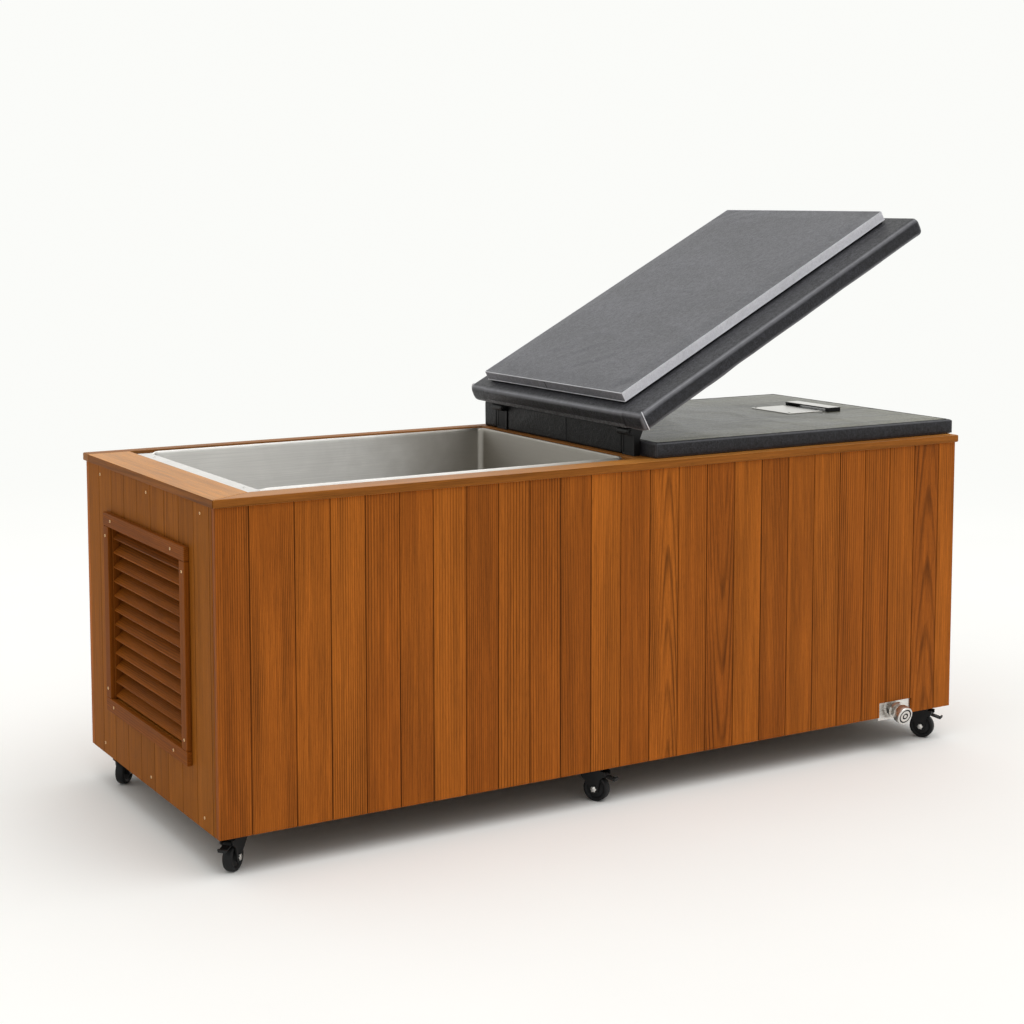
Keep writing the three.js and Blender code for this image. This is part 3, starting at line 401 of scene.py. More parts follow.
def refined(node, name, material, edge, angle=30):
    """A copy of a node with its edges rounded and its facets smoothed, which stands for the node."""
    source = NODES[node]
    bm = bmesh.new()
    bm.from_mesh(source.data)
    bmesh.ops.remove_doubles(bm, verts=bm.verts, dist=1e-6)
    bmesh.ops.dissolve_limit(bm, angle_limit=math.radians(0.5), verts=bm.verts, edges=bm.edges)
    bevel_sharp(bm, edge, angle=angle)
    mesh = mesh_from(name, bm)
    mesh.materials.clear()
    return flat_faces(new_piece(name, mesh, [material], source["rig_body"], [node]))


# Materials


class Finish:
    """One procedural material: its shader and short calls that add nodes to it."""

    def __init__(self, name):
        self.material = bpy.data.materials.new(name)
        self.material.use_nodes = True
        self.tree = self.material.node_tree
        self.shader = self.tree.nodes["Principled BSDF"]

    def node(self, kind, inputs=None, **settings):
        """Adds a node, sets its properties, and sets or links its inputs."""
        made = self.tree.nodes.new("ShaderNode" + kind)
        for key, value in settings.items():
            setattr(made, key, value)
        for key, value in (inputs or {}).items():
            self.feed(made.inputs[key], value)
        return made

    def feed(self, socket, value):
        """Links an output to a socket, or sets the socket's value."""
        if isinstance(value, bpy.types.NodeSocket):
            self.tree.links.new(value, socket)
        elif hasattr(value, "__len__") and len(value) == 3 and socket.type == "RGBA":
            socket.default_value = (*value, 1.0)
        else:
            socket.default_value = value

    def set(self, **inputs):
        """Sets or links the shader's inputs, named with underscores for spaces."""
        for key, value in inputs.items():
            self.feed(self.shader.inputs[key.replace("_", " ")], value)
        return self

    def attribute(self, name):
        return self.node("Attribute", attribute_name=name)

    def place(self):
        """Coordinates of the piece, in metres."""
        return self.node("TexCoord").outputs["Object"]

    def stretch(self, vector, scale, rotation=(0.0, 0.0, 0.0)):
        return self.node("Mapping", {"Vector": vector, "Scale": scale, "Rotation": rotation}).outputs[0]

    def noise(self, vector, scale, detail=3.0, roughness=0.55, distortion=0.0):
        inputs = {"Vector": vector, "Scale": scale, "Detail": detail, "Roughness": roughness}
        return self.node("TexNoise", inputs | {"Distortion": distortion}).outputs[0]

    def cells(self, vector, scale, feature="F1", smoothness=None):
        made = self.node("TexVoronoi", {"Vector": vector, "Scale": scale}, feature=feature)
        if smoothness is not None:
            made.inputs["Smoothness"].default_value = smoothness
        return made.outputs[0]

    def sum(self, first, second, operation="ADD"):
        """A sum, or another operation, of two values."""
        return self.node("Math", {0: first, 1: second}, operation=operation).outputs[0]

    def fit(self, value, low, high, to_low=0.0, to_high=1.0, smoothed=False):
        """Maps a value from one range to another, clamped."""
        inputs = {"Value": value, "From Min": low, "From Max": high, "To Min": to_low, "To Max": to_high}
        made = self.node("MapRange", inputs)
        if smoothed:
            made.interpolation_type = "SMOOTHSTEP"
        return made.outputs[0]

    def ramp(self, value, stops):
        """A colour ramp through (position, colour or grey) stops."""
        made = self.node("ValToRGB", {0: value})
        elements = made.color_ramp.elements
        while len(elements) < len(stops):
            elements.new(1.0)
        for element, (position, tint) in zip(elements, stops):
            element.position = position
            element.color = (*tint, 1.0) if hasattr(tint, "__len__") else (tint, tint, tint, 1.0)
        return made.outputs[0]

    def mix(self, factor, first, second, blend="MIX"):
        """A mix of two colours."""
        made = self.node("Mix", data_type="RGBA", blend_type=blend)
        for index, value in ((0, factor), (6, first), (7, second)):
            self.feed(made.inputs[index], value)
        return made.outputs[2]

    def shade(self, base, value):
        """A colour multiplied by a grey value."""
        grey = self.node("CombineColor", {0: value, 1: value, 2: value}).outputs[0]
        return self.mix(1.0, base, grey, "MULTIPLY")

    def bump(self, height, distance, strength=1.0, normal=None):
        inputs = {"Height": height, "Distance": distance, "Strength": strength}
        if normal is not None:
            inputs["Normal"] = normal
        return self.node("Bump", inputs).outputs[0]


def timber_finish(name, tones, ring_spacing, roughness, contrast, specular):
    """Oiled softwood: growth rings, fibres, pores and darker joints, from the boards' own grain."""
    f = Finish(name)
    grain = f.attribute("grain").outputs["Vector"]
    tone = f.attribute("tone").outputs["Fac"]
    edge = f.node("SeparateXYZ", {0: f.attribute("edge").outputs["Vector"]}).outputs
    rings = f.node(
        "TexWave",
        {
            "Vector": f.stretch(grain, (1.0, 1.0, 0.05)), "Scale": 2 * math.pi / (20 * ring_spacing),
            "Distortion": 9.0, "Detail": 3.0, "Detail Scale": 0.09, "Detail Roughness": 0.6,
        },
        wave_type="RINGS", rings_direction="Z", wave_profile="SAW",
    ).outputs["Fac"]
    late = f.ramp(rings, [(0.0, 0.25), (0.25, 0.03), (0.55, 0.18), (0.84, 1.0), (1.0, 0.55)])
    strength = f.fit(f.noise(f.stretch(grain, (1.0, 1.0, 0.10)), 16.0, 2.0), 0.32, 0.68, 0.15, 1.0)
    late = f.sum(late, strength, "MULTIPLY")
    fibre = f.noise(f.stretch(grain, (1.0, 1.0, 0.022)), 430.0, 4.0, 0.75)
    streaks = f.noise(f.stretch(grain, (1.0, 1.0, 0.014)), 75.0, 3.0, 0.6)
    pores = f.fit(f.noise(f.stretch(grain, (1.0, 1.0, 0.03)), 1500.0, 2.0), 0.60, 0.72)
    patches = f.noise(f.stretch(grain, (1.0, 1.0, 0.22)), 7.0, 3.0)
    dark, usual, light = tones
    base = f.ramp(tone, [(0.0, dark), (0.5, usual), (1.0, light)])
    base = f.mix(f.fit(patches, 0.40, 0.75, 0.0, 0.45), base, light)
    base = f.mix(f.fit(patches, 0.45, 0.20, 0.0, 0.40), base, dark)
    base = f.shade(base, f.fit(late, 0.0, 1.0, 1.0 + 0.25 * contrast, 1.0 - 0.66 * contrast))
    base = f.shade(base, f.fit(streaks, 0.28, 0.72, 1.0 - 0.22 * contrast, 1.0 + 0.20 * contrast))
    base = f.shade(base, f.fit(fibre, 0.25, 0.75, 0.62, 1.33))
    base = f.shade(base, f.fit(pores, 0.0, 1.0, 1.0, 0.62))
    joint = f.sum(edge["X"], edge["Y"], "MINIMUM")
    base = f.shade(base, f.fit(joint, 0.0004, 0.0018, 0.55, 1.0, smoothed=True))
    height = f.sum(f.sum(late, -0.5, "MULTIPLY"), f.sum(fibre, 0.6, "MULTIPLY"))
    f.set(
        Base_Color=base, Roughness=f.fit(fibre, 0.2, 0.8, roughness - 0.07, roughness + 0.10),
        Normal=f.bump(height, 0.0004, 0.5), Specular_IOR_Level=specular,
    )
    return f.material


def steel_finish(name, tint, roughness, streak=620.0, brushing=0.0, patina=None):
    """Brushed steel or brass: fine streaks along the walls and the flat faces, and faint smears.

    The last argument is a darker colour painted on the basin's hinge end, painted shade standing in for the
    open lid's shade, with the places along the tub where it begins and is full.
    """
    f = Finish(name)
    place = f.place()
    upright = f.node("SeparateXYZ", {0: f.node("NewGeometry").outputs["Normal"]}).outputs["Z"]
    flat = f.fit(f.sum(upright, 0.0, "ABSOLUTE"), 0.4, 0.6)
    walls = f.noise(f.stretch(place, (0.012, 0.012, 1.0)), streak, 3.0, 0.6)
    floors = f.noise(f.stretch(place, (0.012, 1.0, 0.012)), streak, 3.0, 0.6)
    brushed = f.node("Mix", {0: flat, 2: walls, 3: floors}).outputs[0]
    smears = f.noise(place, 5.5, 4.0, 0.6, 0.6)
    base = f.shade(tint, f.fit(brushed, 0.25, 0.75, 0.90, 1.06))
    base = f.shade(base, f.fit(smears, 0.3, 0.75, 1.0, 0.92))
    # Painted shade: the steel darkens along the tub towards the hinge end, standing in for the shade of the
    # open lid.
    if patina:
        shade_tint, start, end = patina
        along = f.node("SeparateXYZ", {0: place}).outputs["X"]
        uneven = f.sum(along, f.fit(smears, 0.2, 0.8, -0.09, 0.09))
        base = f.mix(f.fit(uneven, start, end, smoothed=True), base, shade_tint)
    rough = f.sum(
        f.fit(brushed, 0.2, 0.8, roughness - 0.05, roughness + 0.08), f.fit(smears, 0.35, 0.75, 0.0, 0.08)
    )
    f.set(Base_Color=base, Metallic=1.0, Roughness=rough, Normal=f.bump(brushed, 0.00006, 0.5))
    if brushing:
        ways = {0: flat, 4: (0.0, 0.0, 1.0), 5: (0.0, 1.0, 0.0)}
        f.set(Anisotropic=brushing, Tangent=f.node("Mix", ways, data_type="VECTOR").outputs[1])
    return f.material


def vinyl_finish(
    name, tint, pebble, roughness, streaks=0.0, sheen=0.0, crease=0.0016, worn=0.0, specular=0.4,
    mottle=0.4, cloud=0.14,
):
    """Upholstery vinyl: pebbled grain, soft creases, scuffs, edges lightened partly by wear and partly by
    painted highlight and, on request, streaks.
    """
    f = Finish(name)
    place = f.place()
    warped = f.node("VectorMath", {0: place}, operation="ADD")
    ripple = f.node("TexNoise", {"Vector": place, "Scale": 0.35 / pebble, "Detail": 2.0}).outputs["Color"]
    f.feed(warped.inputs[1], f.node("VectorMath", {0: ripple, "Scale": pebble}, operation="SCALE").outputs[0])
    pebbles = f.cells(warped.outputs[0], 1.0 / pebble, "SMOOTH_F1", 0.6)
    fine = f.noise(place, 4.0 / pebble, 2.0)
    hide = f.noise(place, 0.25 / pebble, 4.0, 0.75)
    soft = f.noise(f.stretch(place, (1.0, 0.55, 1.0)), 7.5, 3.0, 0.5, 0.8)
    scuffs = f.noise(place, 38.0, 5.0, 0.65, 0.5)
    base = f.shade(tint, f.fit(pebbles, 0.1, 0.75, 1.0 + mottle, 1.0 - mottle))
    base = f.shade(base, f.fit(soft, 0.3, 0.7, 1.0 - cloud, 1.0 + cloud))
    base = f.shade(base, f.fit(hide, 0.38, 0.62, 1.0 - 0.9 * mottle, 1.0 + 0.9 * mottle))
    pale = [min(1.0, 2.2 * part + 0.02) for part in tint]
    base = f.mix(f.fit(scuffs, 0.58, 0.80, 0.0, 0.20), base, pale)
    # Partly wear, partly painted highlight: the rounded edges are lightened; on the lid panel this stands in
    # for the sheen along its ridge.
    if worn:
        ridge = f.attribute("ridge").outputs["Fac"]
        faded = f.sum(f.fit(ridge, 0.35, 1.0), f.fit(scuffs, 0.2, 0.8, 0.7, 1.3), "MULTIPLY")
        base = f.mix(f.fit(faded, 0.0, 1.2, 0.0, worn), base, [min(1.0, 4.0 * part + 0.10) for part in tint])
    if streaks:
        lines = f.noise(f.stretch(place, (0.5, 14.0, 1.0)), 5.0, 4.0, 0.7)
        broad = f.noise(f.stretch(place, (0.6, 3.0, 1.0)), 3.0, 2.0)
        both = f.sum(f.sum(lines, 0.7, "MULTIPLY"), f.sum(broad, 0.3, "MULTIPLY"))
        base = f.shade(base, f.fit(both, 0.34, 0.66, 1.0 - streaks, 1.0 + streaks))
    rough = f.fit(pebbles, 0.1, 0.7, roughness - 0.06, roughness + 0.06)
    rough = f.sum(rough, f.fit(soft, 0.3, 0.7, -0.05, 0.05))
    normal = f.bump(soft, crease * 4, 0.7)
    normal = f.bump(f.sum(pebbles, f.sum(fine, 0.3, "MULTIPLY"), "SUBTRACT"), -0.0006, 0.6, normal)
    normal = f.bump(hide, 0.0020, 0.6, normal)
    f.set(
        Base_Color=base, Roughness=rough, Normal=normal, Sheen_Weight=sheen, Sheen_Roughness=0.5,
        Specular_IOR_Level=specular,
    )
    return f.material


def painted_finish(name, tint, roughness, speckle, metallic=0.0, specular=0.5):
    """Paint, moulded plastic or rubber: a fine texture, dust and slight wear."""
    f = Finish(name)
    place = f.place()
    grainy = f.noise(place, speckle, 3.0, 0.6)
    dusty = f.noise(place, 22.0, 5.0, 0.6, 0.4)
    base = f.shade(tint, f.fit(grainy, 0.25, 0.75, 0.86, 1.14))
    base = f.mix(f.fit(dusty, 0.52, 0.80, 0.0, 0.16), base, [min(1.0, part * 1.5 + 0.035) for part in tint])
    rough = f.fit(grainy, 0.2, 0.8, roughness - 0.06, roughness + 0.06)
    rough = f.sum(rough, f.fit(dusty, 0.4, 0.8, 0.0, 0.10))
    f.set(
        Base_Color=base, Metallic=metallic, Roughness=rough, Normal=f.bump(grainy, 0.0002, 0.45),
        Specular_IOR_Level=specular,
    )
    return f.material


def foam_finish(name, tint):
    """Sprayed insulation foam: a yellowed skin over small cells."""
    f = Finish(name)
    place = f.place()
    bubbles = f.cells(place, 140.0)
    lumps = f.noise(place, 16.0, 4.0)
    base = f.shade(tint, f.fit(bubbles, 0.0, 0.7, 0.78, 1.10))
    base = f.shade(base, f.fit(lumps, 0.3, 0.7, 0.82, 1.12))
    height = f.sum(bubbles, f.sum(lumps, 2.0, "MULTIPLY"))
    f.set(Base_Color=base, Roughness=f.fit(lumps, 0.3, 0.7, 0.80, 0.95), Normal=f.bump(height, 0.002, 0.6))
    return f.material


def plywood_finish(name, tint):
    """Birch plywood: long figure on the faces and stacked plies on the edges."""
    f = Finish(name)
    place = f.place()
    figure = f.noise(f.stretch(place, (0.06, 1.0, 1.0)), 60.0, 4.0, 0.6, 0.4)
    stack = {"Vector": place, "Scale": 115.0, "Distortion": 0.6}
    plies = f.node("TexWave", stack, wave_type="BANDS", bands_direction="Z").outputs["Fac"]
    base = f.shade(tint, f.fit(figure, 0.25, 0.75, 0.72, 1.15))
    base = f.shade(base, f.fit(plies, 0.0, 1.0, 0.82, 1.06))
    f.set(Base_Color=base, Roughness=f.fit(figure, 0.2, 0.8, 0.66, 0.82), Normal=f.bump(figure, 0.0004, 0.5))
    return f.material


def settings():
    """The scene's property groups: timber, padding, metal, plant and stage."""
    scene = bpy.context.scene
    return scene.tub_timber, scene.tub_padding, scene.tub_metal, scene.tub_plant, scene.tub_stage


def midway(first, second):
    """The colour midway between two colours."""
    return [(a + b) / 2 for a, b in zip(first, second)]


def finish(name):
    """The material of that name, made on first use."""
    made = bpy.data.materials.get(name)
    if made:
        return made
    timber, padding, metal, plant, _ = settings()

    def grained(dark, light, roughness, contrast, specular):
        tones = (dark, midway(dark, light), light)
        return timber_finish(name, tones, timber.ring_spacing, roughness, contrast, specular)

    def vinyl(tint, roughness, **look):
        return vinyl_finish(name, tint, padding.pebble, roughness, **look)

    def steel(tint, *look, **brushed):
        return steel_finish(name, tint, *look, **brushed)

    def painted(tint, *look, **gloss):
        return painted_finish(name, tint, *look, **gloss)

    boards = (timber.umber, timber.russet, timber.amber)
    shaded_rim_tones = (timber.rim_back, timber.rim_back, timber.rim_dark)
    # Painted shade at the basin's hinge end: its colour, and where it begins and is full.
    patina = (metal.patina, metal.patina_start, metal.patina_end)
    worn = {"specular": 0.3, "mottle": 0.5}
    makers = {
        "oiled_cedar": lambda: timber_finish(name, boards, timber.ring_spacing, 0.55, 1.0, 0.08),
        "shaded_end_cedar": lambda: grained(timber.end_dark, timber.end_light, 0.55, 0.6, 0.03),
        "louvre_cedar": lambda: grained(timber.louvre_dark, timber.louvre_light, 0.50, 0.6, 0.03),
        "sanded_rim": lambda: grained(timber.rim_dark, timber.rim_light, 0.42, 0.75, 0.32),
        "shaded_rim": lambda: timber_finish(name, shaded_rim_tones, timber.ring_spacing, 0.5, 0.6, 0.15),
        # Painted shade: timber for the rim's upright faces, lighter on the front rim than on the ends.
        "rim_edge": lambda: grained(timber.lit_front_side, timber.shaded_end_side, 0.5, 0.5, 0.05),
        "brushed_steel": lambda: steel(metal.basin_steel, 0.52, brushing=0.85, patina=patina),
        "shaded_flange_steel": lambda: steel(metal.shaded_flange_steel, 0.52, brushing=0.85),
        "satin_steel": lambda: steel(metal.steel, 0.26, 900.0),
        "brass": lambda: steel(metal.brass, 0.34, 1500.0),
        "charcoal_sheet": lambda: vinyl(
            padding.charcoal, 0.62, sheen=0.1, mottle=0.16, cloud=0.13, crease=0.0024,
        ),
        "shaded_end_grey_vinyl": lambda: vinyl(padding.shaded_end_grey, 0.55, crease=0.0006, mottle=0.15),
        "black_vinyl": lambda: vinyl(padding.black, 0.45, worn=0.8, **worn),
        # Painted highlight: a strong worn value lightens the lid panel's rounded ridge; its inner face is a
        # lighter black, painted light.
        "highlit_panel_vinyl": lambda: vinyl(padding.black, 0.45, worn=1.6, **worn),
        "lit_border_vinyl": lambda: vinyl(padding.lit_border_black, 0.45, worn=1.2, specular=0.3, mottle=0.4),
        "apron_vinyl": lambda: vinyl(padding.apron, 0.42, specular=0.2),
        "moss_vinyl": lambda: vinyl(padding.moss, 0.34, streaks=0.7, specular=0.75, mottle=0.3, cloud=0.2),
        "silver_vinyl": lambda: vinyl(padding.silver, 0.48, crease=0.0006, mottle=0.06, cloud=0.06),
        "hem_vinyl": lambda: vinyl(padding.hem_grey, 0.5, crease=0.0003, mottle=0.06),
        "strip_vinyl": lambda: vinyl(padding.strip_grey, 0.5, crease=0.0003),
        "black_paint": lambda: painted(metal.black_metal, 0.42, 900.0, specular=0.25),
        "moulded_black": lambda: painted(plant.plastic, 0.48, 700.0, specular=0.25),
        "rubber": lambda: painted(plant.rubber, 0.55, 500.0, specular=0.25),
        "case_paint": lambda: painted(plant.casing, 0.45, 450.0, metallic=0.2),
        "filter_shell": lambda: painted(plant.filter_blue, 0.38, 380.0),
        "jacket_foam": lambda: foam_finish(name, plant.foam),
        "birch_ply": lambda: plywood_finish(name, plant.plywood),
    }
    return makers[name]()


# Timber


class Timber:
    """Gathers boards into one mesh, with each board's grain, tone and edge distances on its points."""

    def __init__(self, seed):
        self.bm = bmesh.new()
        layers = self.bm.verts.layers
        self.grain = layers.float_vector.new("grain")
        self.edge = layers.float_vector.new("edge")
        self.tone = layers.float.new("tone")
        self.dice = random.Random(seed)

    def board(self, outline, thickness, place, rounding, tones=(0.0, 1.0), plain=0.3, joints=(True, True)):
        """Adds a board cut to an outline of (across, along) points.

        plain is the share of flat-sawn boards; joints says which of the two edges meet another board.
        """
        piece = bmesh.new()
        add_prism(piece, outline, thickness, Matrix.Identity(4))
        bmesh.ops.recalc_face_normals(piece, faces=piece.faces)
        bevel_sharp(piece, rounding)
        across = [x for x, _ in outline]
        left, right = min(across), max(across)
        dice = self.dice
        if dice.random() < plain:
            heart = Vector((dice.uniform(-0.015, 0.015), dice.uniform(0.025, 0.06)))
            lean = Vector((dice.uniform(-0.01, 0.01), dice.choice((-1, 1)) * dice.uniform(0.02, 0.05)))
        else:
            heart = Vector((dice.choice((-1, 1)) * dice.uniform(0.12, 0.30), dice.uniform(0.01, 0.06)))
            lean = Vector((dice.uniform(-0.006, 0.006), dice.uniform(-0.01, 0.01)))
        size = dice.uniform(0.75, 1.5)
        start = dice.uniform(0.0, 40.0)
        tone = dice.uniform(*tones)
        copies = {}
        for v in piece.verts:
            x, y, z = v.co
            made = self.bm.verts.new(place @ v.co)
            trunk = (x - (left + right) / 2 + heart.x + lean.x * z, y + heart.y + lean.y * z, z + start)
            made[self.grain] = Vector(trunk) * size
            made[self.edge] = Vector((x - left if joints[0] else 1.0, right - x if joints[1] else 1.0, z))
            made[self.tone] = tone
            copies[v] = made
        for face in piece.faces:
            self.bm.faces.new([copies[v] for v in face.verts])
        piece.free()

    def block(self, lo, hi, along, outward, rounding, tones=(0.0, 1.0), plain=0.3):
        """Adds a straight board that fills a box, by the axes of its length and its outer face."""
        lo, hi = Vector(lo), Vector(hi)
        centre, size = (lo + hi) / 2, hi - lo
        inward = -Vector(outward)
        across = inward.cross(Vector(along))
        extent = [abs(size.dot(axis)) for axis in (across, inward, Vector(along))]
        place = axes(across, inward, along, centre) @ Matrix.Translation([-e / 2 for e in extent])
        outline = [(0, 0), (extent[0], 0), (extent[0], extent[2]), (0, extent[2])]
        self.board(outline, extent[1], place, rounding, tones, plain, (False, False))

    def piece(self, name, material, slot, nodes, body="cabinet"):
        return flat_faces(new_piece(name, mesh_from(name, self.bm), [material], body, nodes))


def board_outlines(left, right, height, opening):
    """Outlines of the board from left to right, less an opening (left, right, bottom, top)."""
    whole = [(left, 0.0), (right, 0.0), (right, height), (left, height)]
    if opening is None:
        return [whole]
    hole_left, hole_right, low, high = opening
    a, b = max(left, hole_left), min(right, hole_right)
    if a >= b:
        return [whole]
    upper = [(left, high), (right, high), (right, height), (left, height)]
    if a == left and b == right:
        lower = [(left, 0.0), (right, 0.0), (right, low), (left, low)]
        return [upper, lower] if low > 0 else [upper]
    if low <= 0:
        outline = [(a, high), (b, high)]
        if b < right:
            outline += [(b, 0.0), (right, 0.0)]
        outline += [(right, height), (left, height)]
        if a > left:
            outline += [(left, 0.0), (a, 0.0)]
        return [outline]
    if a == left:
        return [whole + [(left, high), (b, high), (b, low), (left, low)]]
    return [whole[:2] + [(right, low), (a, low), (a, high), (right, high)] + whole[2:]]


def clad(name, node, across, inward, seams, seed, gap, material, tones, opening=None):
    """Boards one side of the cabinet: upright boards between seams, tongued behind their joints."""
    timber = settings()[0]
    lo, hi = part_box(node)
    thickness = min(hi.x - lo.x, hi.y - lo.y)
    corner = Vector((
        lo.x if across.x + inward.x > 0 else hi.x, lo.y if across.y + inward.y > 0 else hi.y, lo.z,
    ))
    place = axes(across, inward, Vector((0, 0, 1)), corner)
    height = hi.z - lo.z
    half = gap / 2
    gathered = Timber(seed)
    for left, right in zip(seams, seams[1:]):
        joints = (left > seams[0], right < seams[-1])
        for outline in board_outlines(left + half, right - half, height, opening):
            gathered.board(outline, thickness, place, timber.board_edge, tones, 0.22, joints)
    behind = place @ Matrix.Translation((0.0, timber.tongue, 0.0))
    for seam in seams[1:-1]:
        for outline in board_outlines(seam - 3 * half, seam + 3 * half, height, opening):
            inset = [(x, z + (timber.tongue if z < height / 2 else -timber.tongue)) for x, z in outline]
            gathered.board(inset, timber.tongue, behind, gap / 4, (0.0, 0.1))
    return gathered.piece(name, finish(material), "cedar", [node])


def add_screw(bm, place, radius):
    """Adds a low domed screw head facing local z, with a black cross for its slot: painted shade standing in
    for the shade in a cut slot.
    """
    dome = ((1.0, 0.0), (1.0, 0.25), (0.75, 0.45), (0.0, 0.55))
    add_lathe(bm, [(r * radius, h * radius) for r, h in dome], place, 20)
    low, high = Vector((-0.6, -0.1, 0.45)) * radius, Vector((0.6, 0.1, 0.58)) * radius
    # Painted shade: the slot is a black cross on the dome, not a cut.
    for turn in (0.0, math.pi / 2):
        _, faces = add_box(bm, low, high, place @ Matrix.Rotation(turn, 4, "Z"))
        for face in faces:
            face.material_index = 1


def screw_set(name, places, radius, metal, body="cabinet", swing=None):
    """Screw heads with black slots, painted shade, at a list of places, as one piece."""
    bm = bmesh.new()
    for place in places:
        add_screw(bm, place, radius)
    mesh = mesh_from(name, bm)
    if swing is not None:
        mesh.transform(swing)
    new_piece(name, mesh, [finish(metal), finish("black_paint")], body)


class TUB_OT_cladding(bpy.types.Operator):
    """Boards the four sides of the cabinet and sets the end's brass screws"""

    bl_idname = "tub.cladding"
    bl_label = "Cladding"

    def execute(self, context):
        timber = settings()[0]
        lo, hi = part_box("front_cladding")
        run = hi.x - lo.x
        seams = [0.0, timber.first_board, timber.first_board + timber.second_board]
        while seams[-1] + 1.5 * timber.board_pitch < run:
            seams.append(seams[-1] + timber.board_pitch)
        seams.append(run)
        plate_lo, plate_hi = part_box("drain_plate")
        slack = 0.3 * MM
        notch = (plate_lo.x - lo.x - slack, plate_hi.x - lo.x + slack, 0.0, plate_hi.z - lo.z + slack)
        x, y = Vector((1, 0, 0)), Vector((0, 1, 0))
        varied, even = (0.15, 0.85), (0.3, 0.7)
        gap = timber.joint_gap
        clad("front_boards", "front_cladding", x, y, seams, 11, gap, "oiled_cedar", varied, notch)
        clad("back_boards", "back_cladding", -x, -y, seams, 23, gap, "oiled_cedar", varied)

        end_lo, end_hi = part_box("left_cladding")
        first = lo.y + timber.end_first
        joints = []
        while first < end_hi.y - timber.end_pitch / 3:
            joints.append(first)
            first += timber.end_pitch
        vent_lo, vent_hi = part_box("louvre_slats")
        vent = (end_hi.y - vent_hi.y, end_hi.y - vent_lo.y, vent_lo.z - end_lo.z, vent_hi.z - end_lo.z)
        from_back = [end_hi.y - at for at in [end_hi.y, *reversed(joints), end_lo.y]]
        gap = timber.end_gap
        # The end boards take the darker end timber, partly painted shade.
        clad("left_boards", "left_cladding", -y, x, from_back, 37, gap, "shaded_end_cedar", even, vent)
        from_front = [at - end_lo.y for at in [end_lo.y, *joints, end_hi.y]]
        clad("right_boards", "right_cladding", y, -x, from_front, 41, gap, "shaded_end_cedar", even)
        places = [
            facing(-x, (end_lo.x, lo.y + depth, end_lo.z + height))
            for height in END_SCREW_HEIGHTS for depth in END_SCREW_DEPTHS
        ]
        screw_set("end_screws", places, timber.screw_radius, "brass")
        return {"FINISHED"}


class TUB_OT_rim(bpy.types.Operator):
    """Lays the rim boards round the basin and the bay"""

    bl_idname = "tub.rim"
    bl_label = "Rim"

    def execute(self, context):
        lo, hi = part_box("rim_front")
        inner_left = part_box("rim_left")[1].x
        inner_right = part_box("rim_right")[0].x
        depth, run = hi.y - lo.y, hi.x - lo.x
        mitred = [(0, inner_left - lo.x), (depth, 0), (depth, run), (0, inner_right - lo.x)]
        place = axes((0, -1, 0), (0, 0, -1), (1, 0, 0), (lo.x, hi.y, hi.z))
        self.lay("rim_front", mitred, place, 61)
        for seed, node in enumerate(("rim_left", "rim_right", "rim_divider")):
            lo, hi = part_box(node)
            width, run = hi.x - lo.x, hi.y - lo.y
            cut_left = depth if node == "rim_right" else 0.0
            cut_right = depth if node == "rim_left" else 0.0
            outline = [(0, cut_left), (width, cut_right), (width, run), (0, run)]
            self.lay(node, outline, axes((1, 0, 0), (0, 0, -1), (0, 1, 0), (lo.x, lo.y, hi.z)), 62 + seed)
        lo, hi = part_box("rim_back")
        step_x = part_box("rim_divider")[0].x - lo.x
        step_y = hi.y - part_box("rim_left")[1].y - 0.3 * MM
        depth, run = hi.y - lo.y, hi.x - lo.x
        outline = [(0, 0), (step_y, 0), (step_y, step_x), (depth, step_x), (depth, run), (0, run)]
        self.lay("rim_back", outline, axes((0, -1, 0), (0, 0, -1), (1, 0, 0), (lo.x, hi.y, hi.z)), 71)
        return {"FINISHED"}

    def lay(self, node, outline, place, seed):
        """Lays one rim board with rounded edges."""
        timber = settings()[0]
        lo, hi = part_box(node)
        gathered = Timber(seed)
        # The tone also picks the painted side shade: low on the front rim for its lighter upright faces, high
        # on the ends for darker ones.
        tones = (0.0, 0.1) if node == "rim_front" else (0.5, 0.9)
        gathered.board(outline, hi.z - lo.z, place, timber.rim_edge, tones, 0.0, (False, False))
        # Painted shade: the back rim and the divider take the darker timber, for the shade under the open
        # lid.
        shaded = node in ("rim_back", "rim_divider")
        shade = finish("shaded_rim" if shaded else "sanded_rim")
        board = gathered.piece(node + "_board", shade, "rim_timber", [node])
        # Painted shade: the upright faces take the darker rim_edge timber.
        if not shaded:
            board.data.materials.append(finish("rim_edge"))
            for face in board.data.polygons:
                face.material_index = int(abs(face.normal.z) < 0.5)


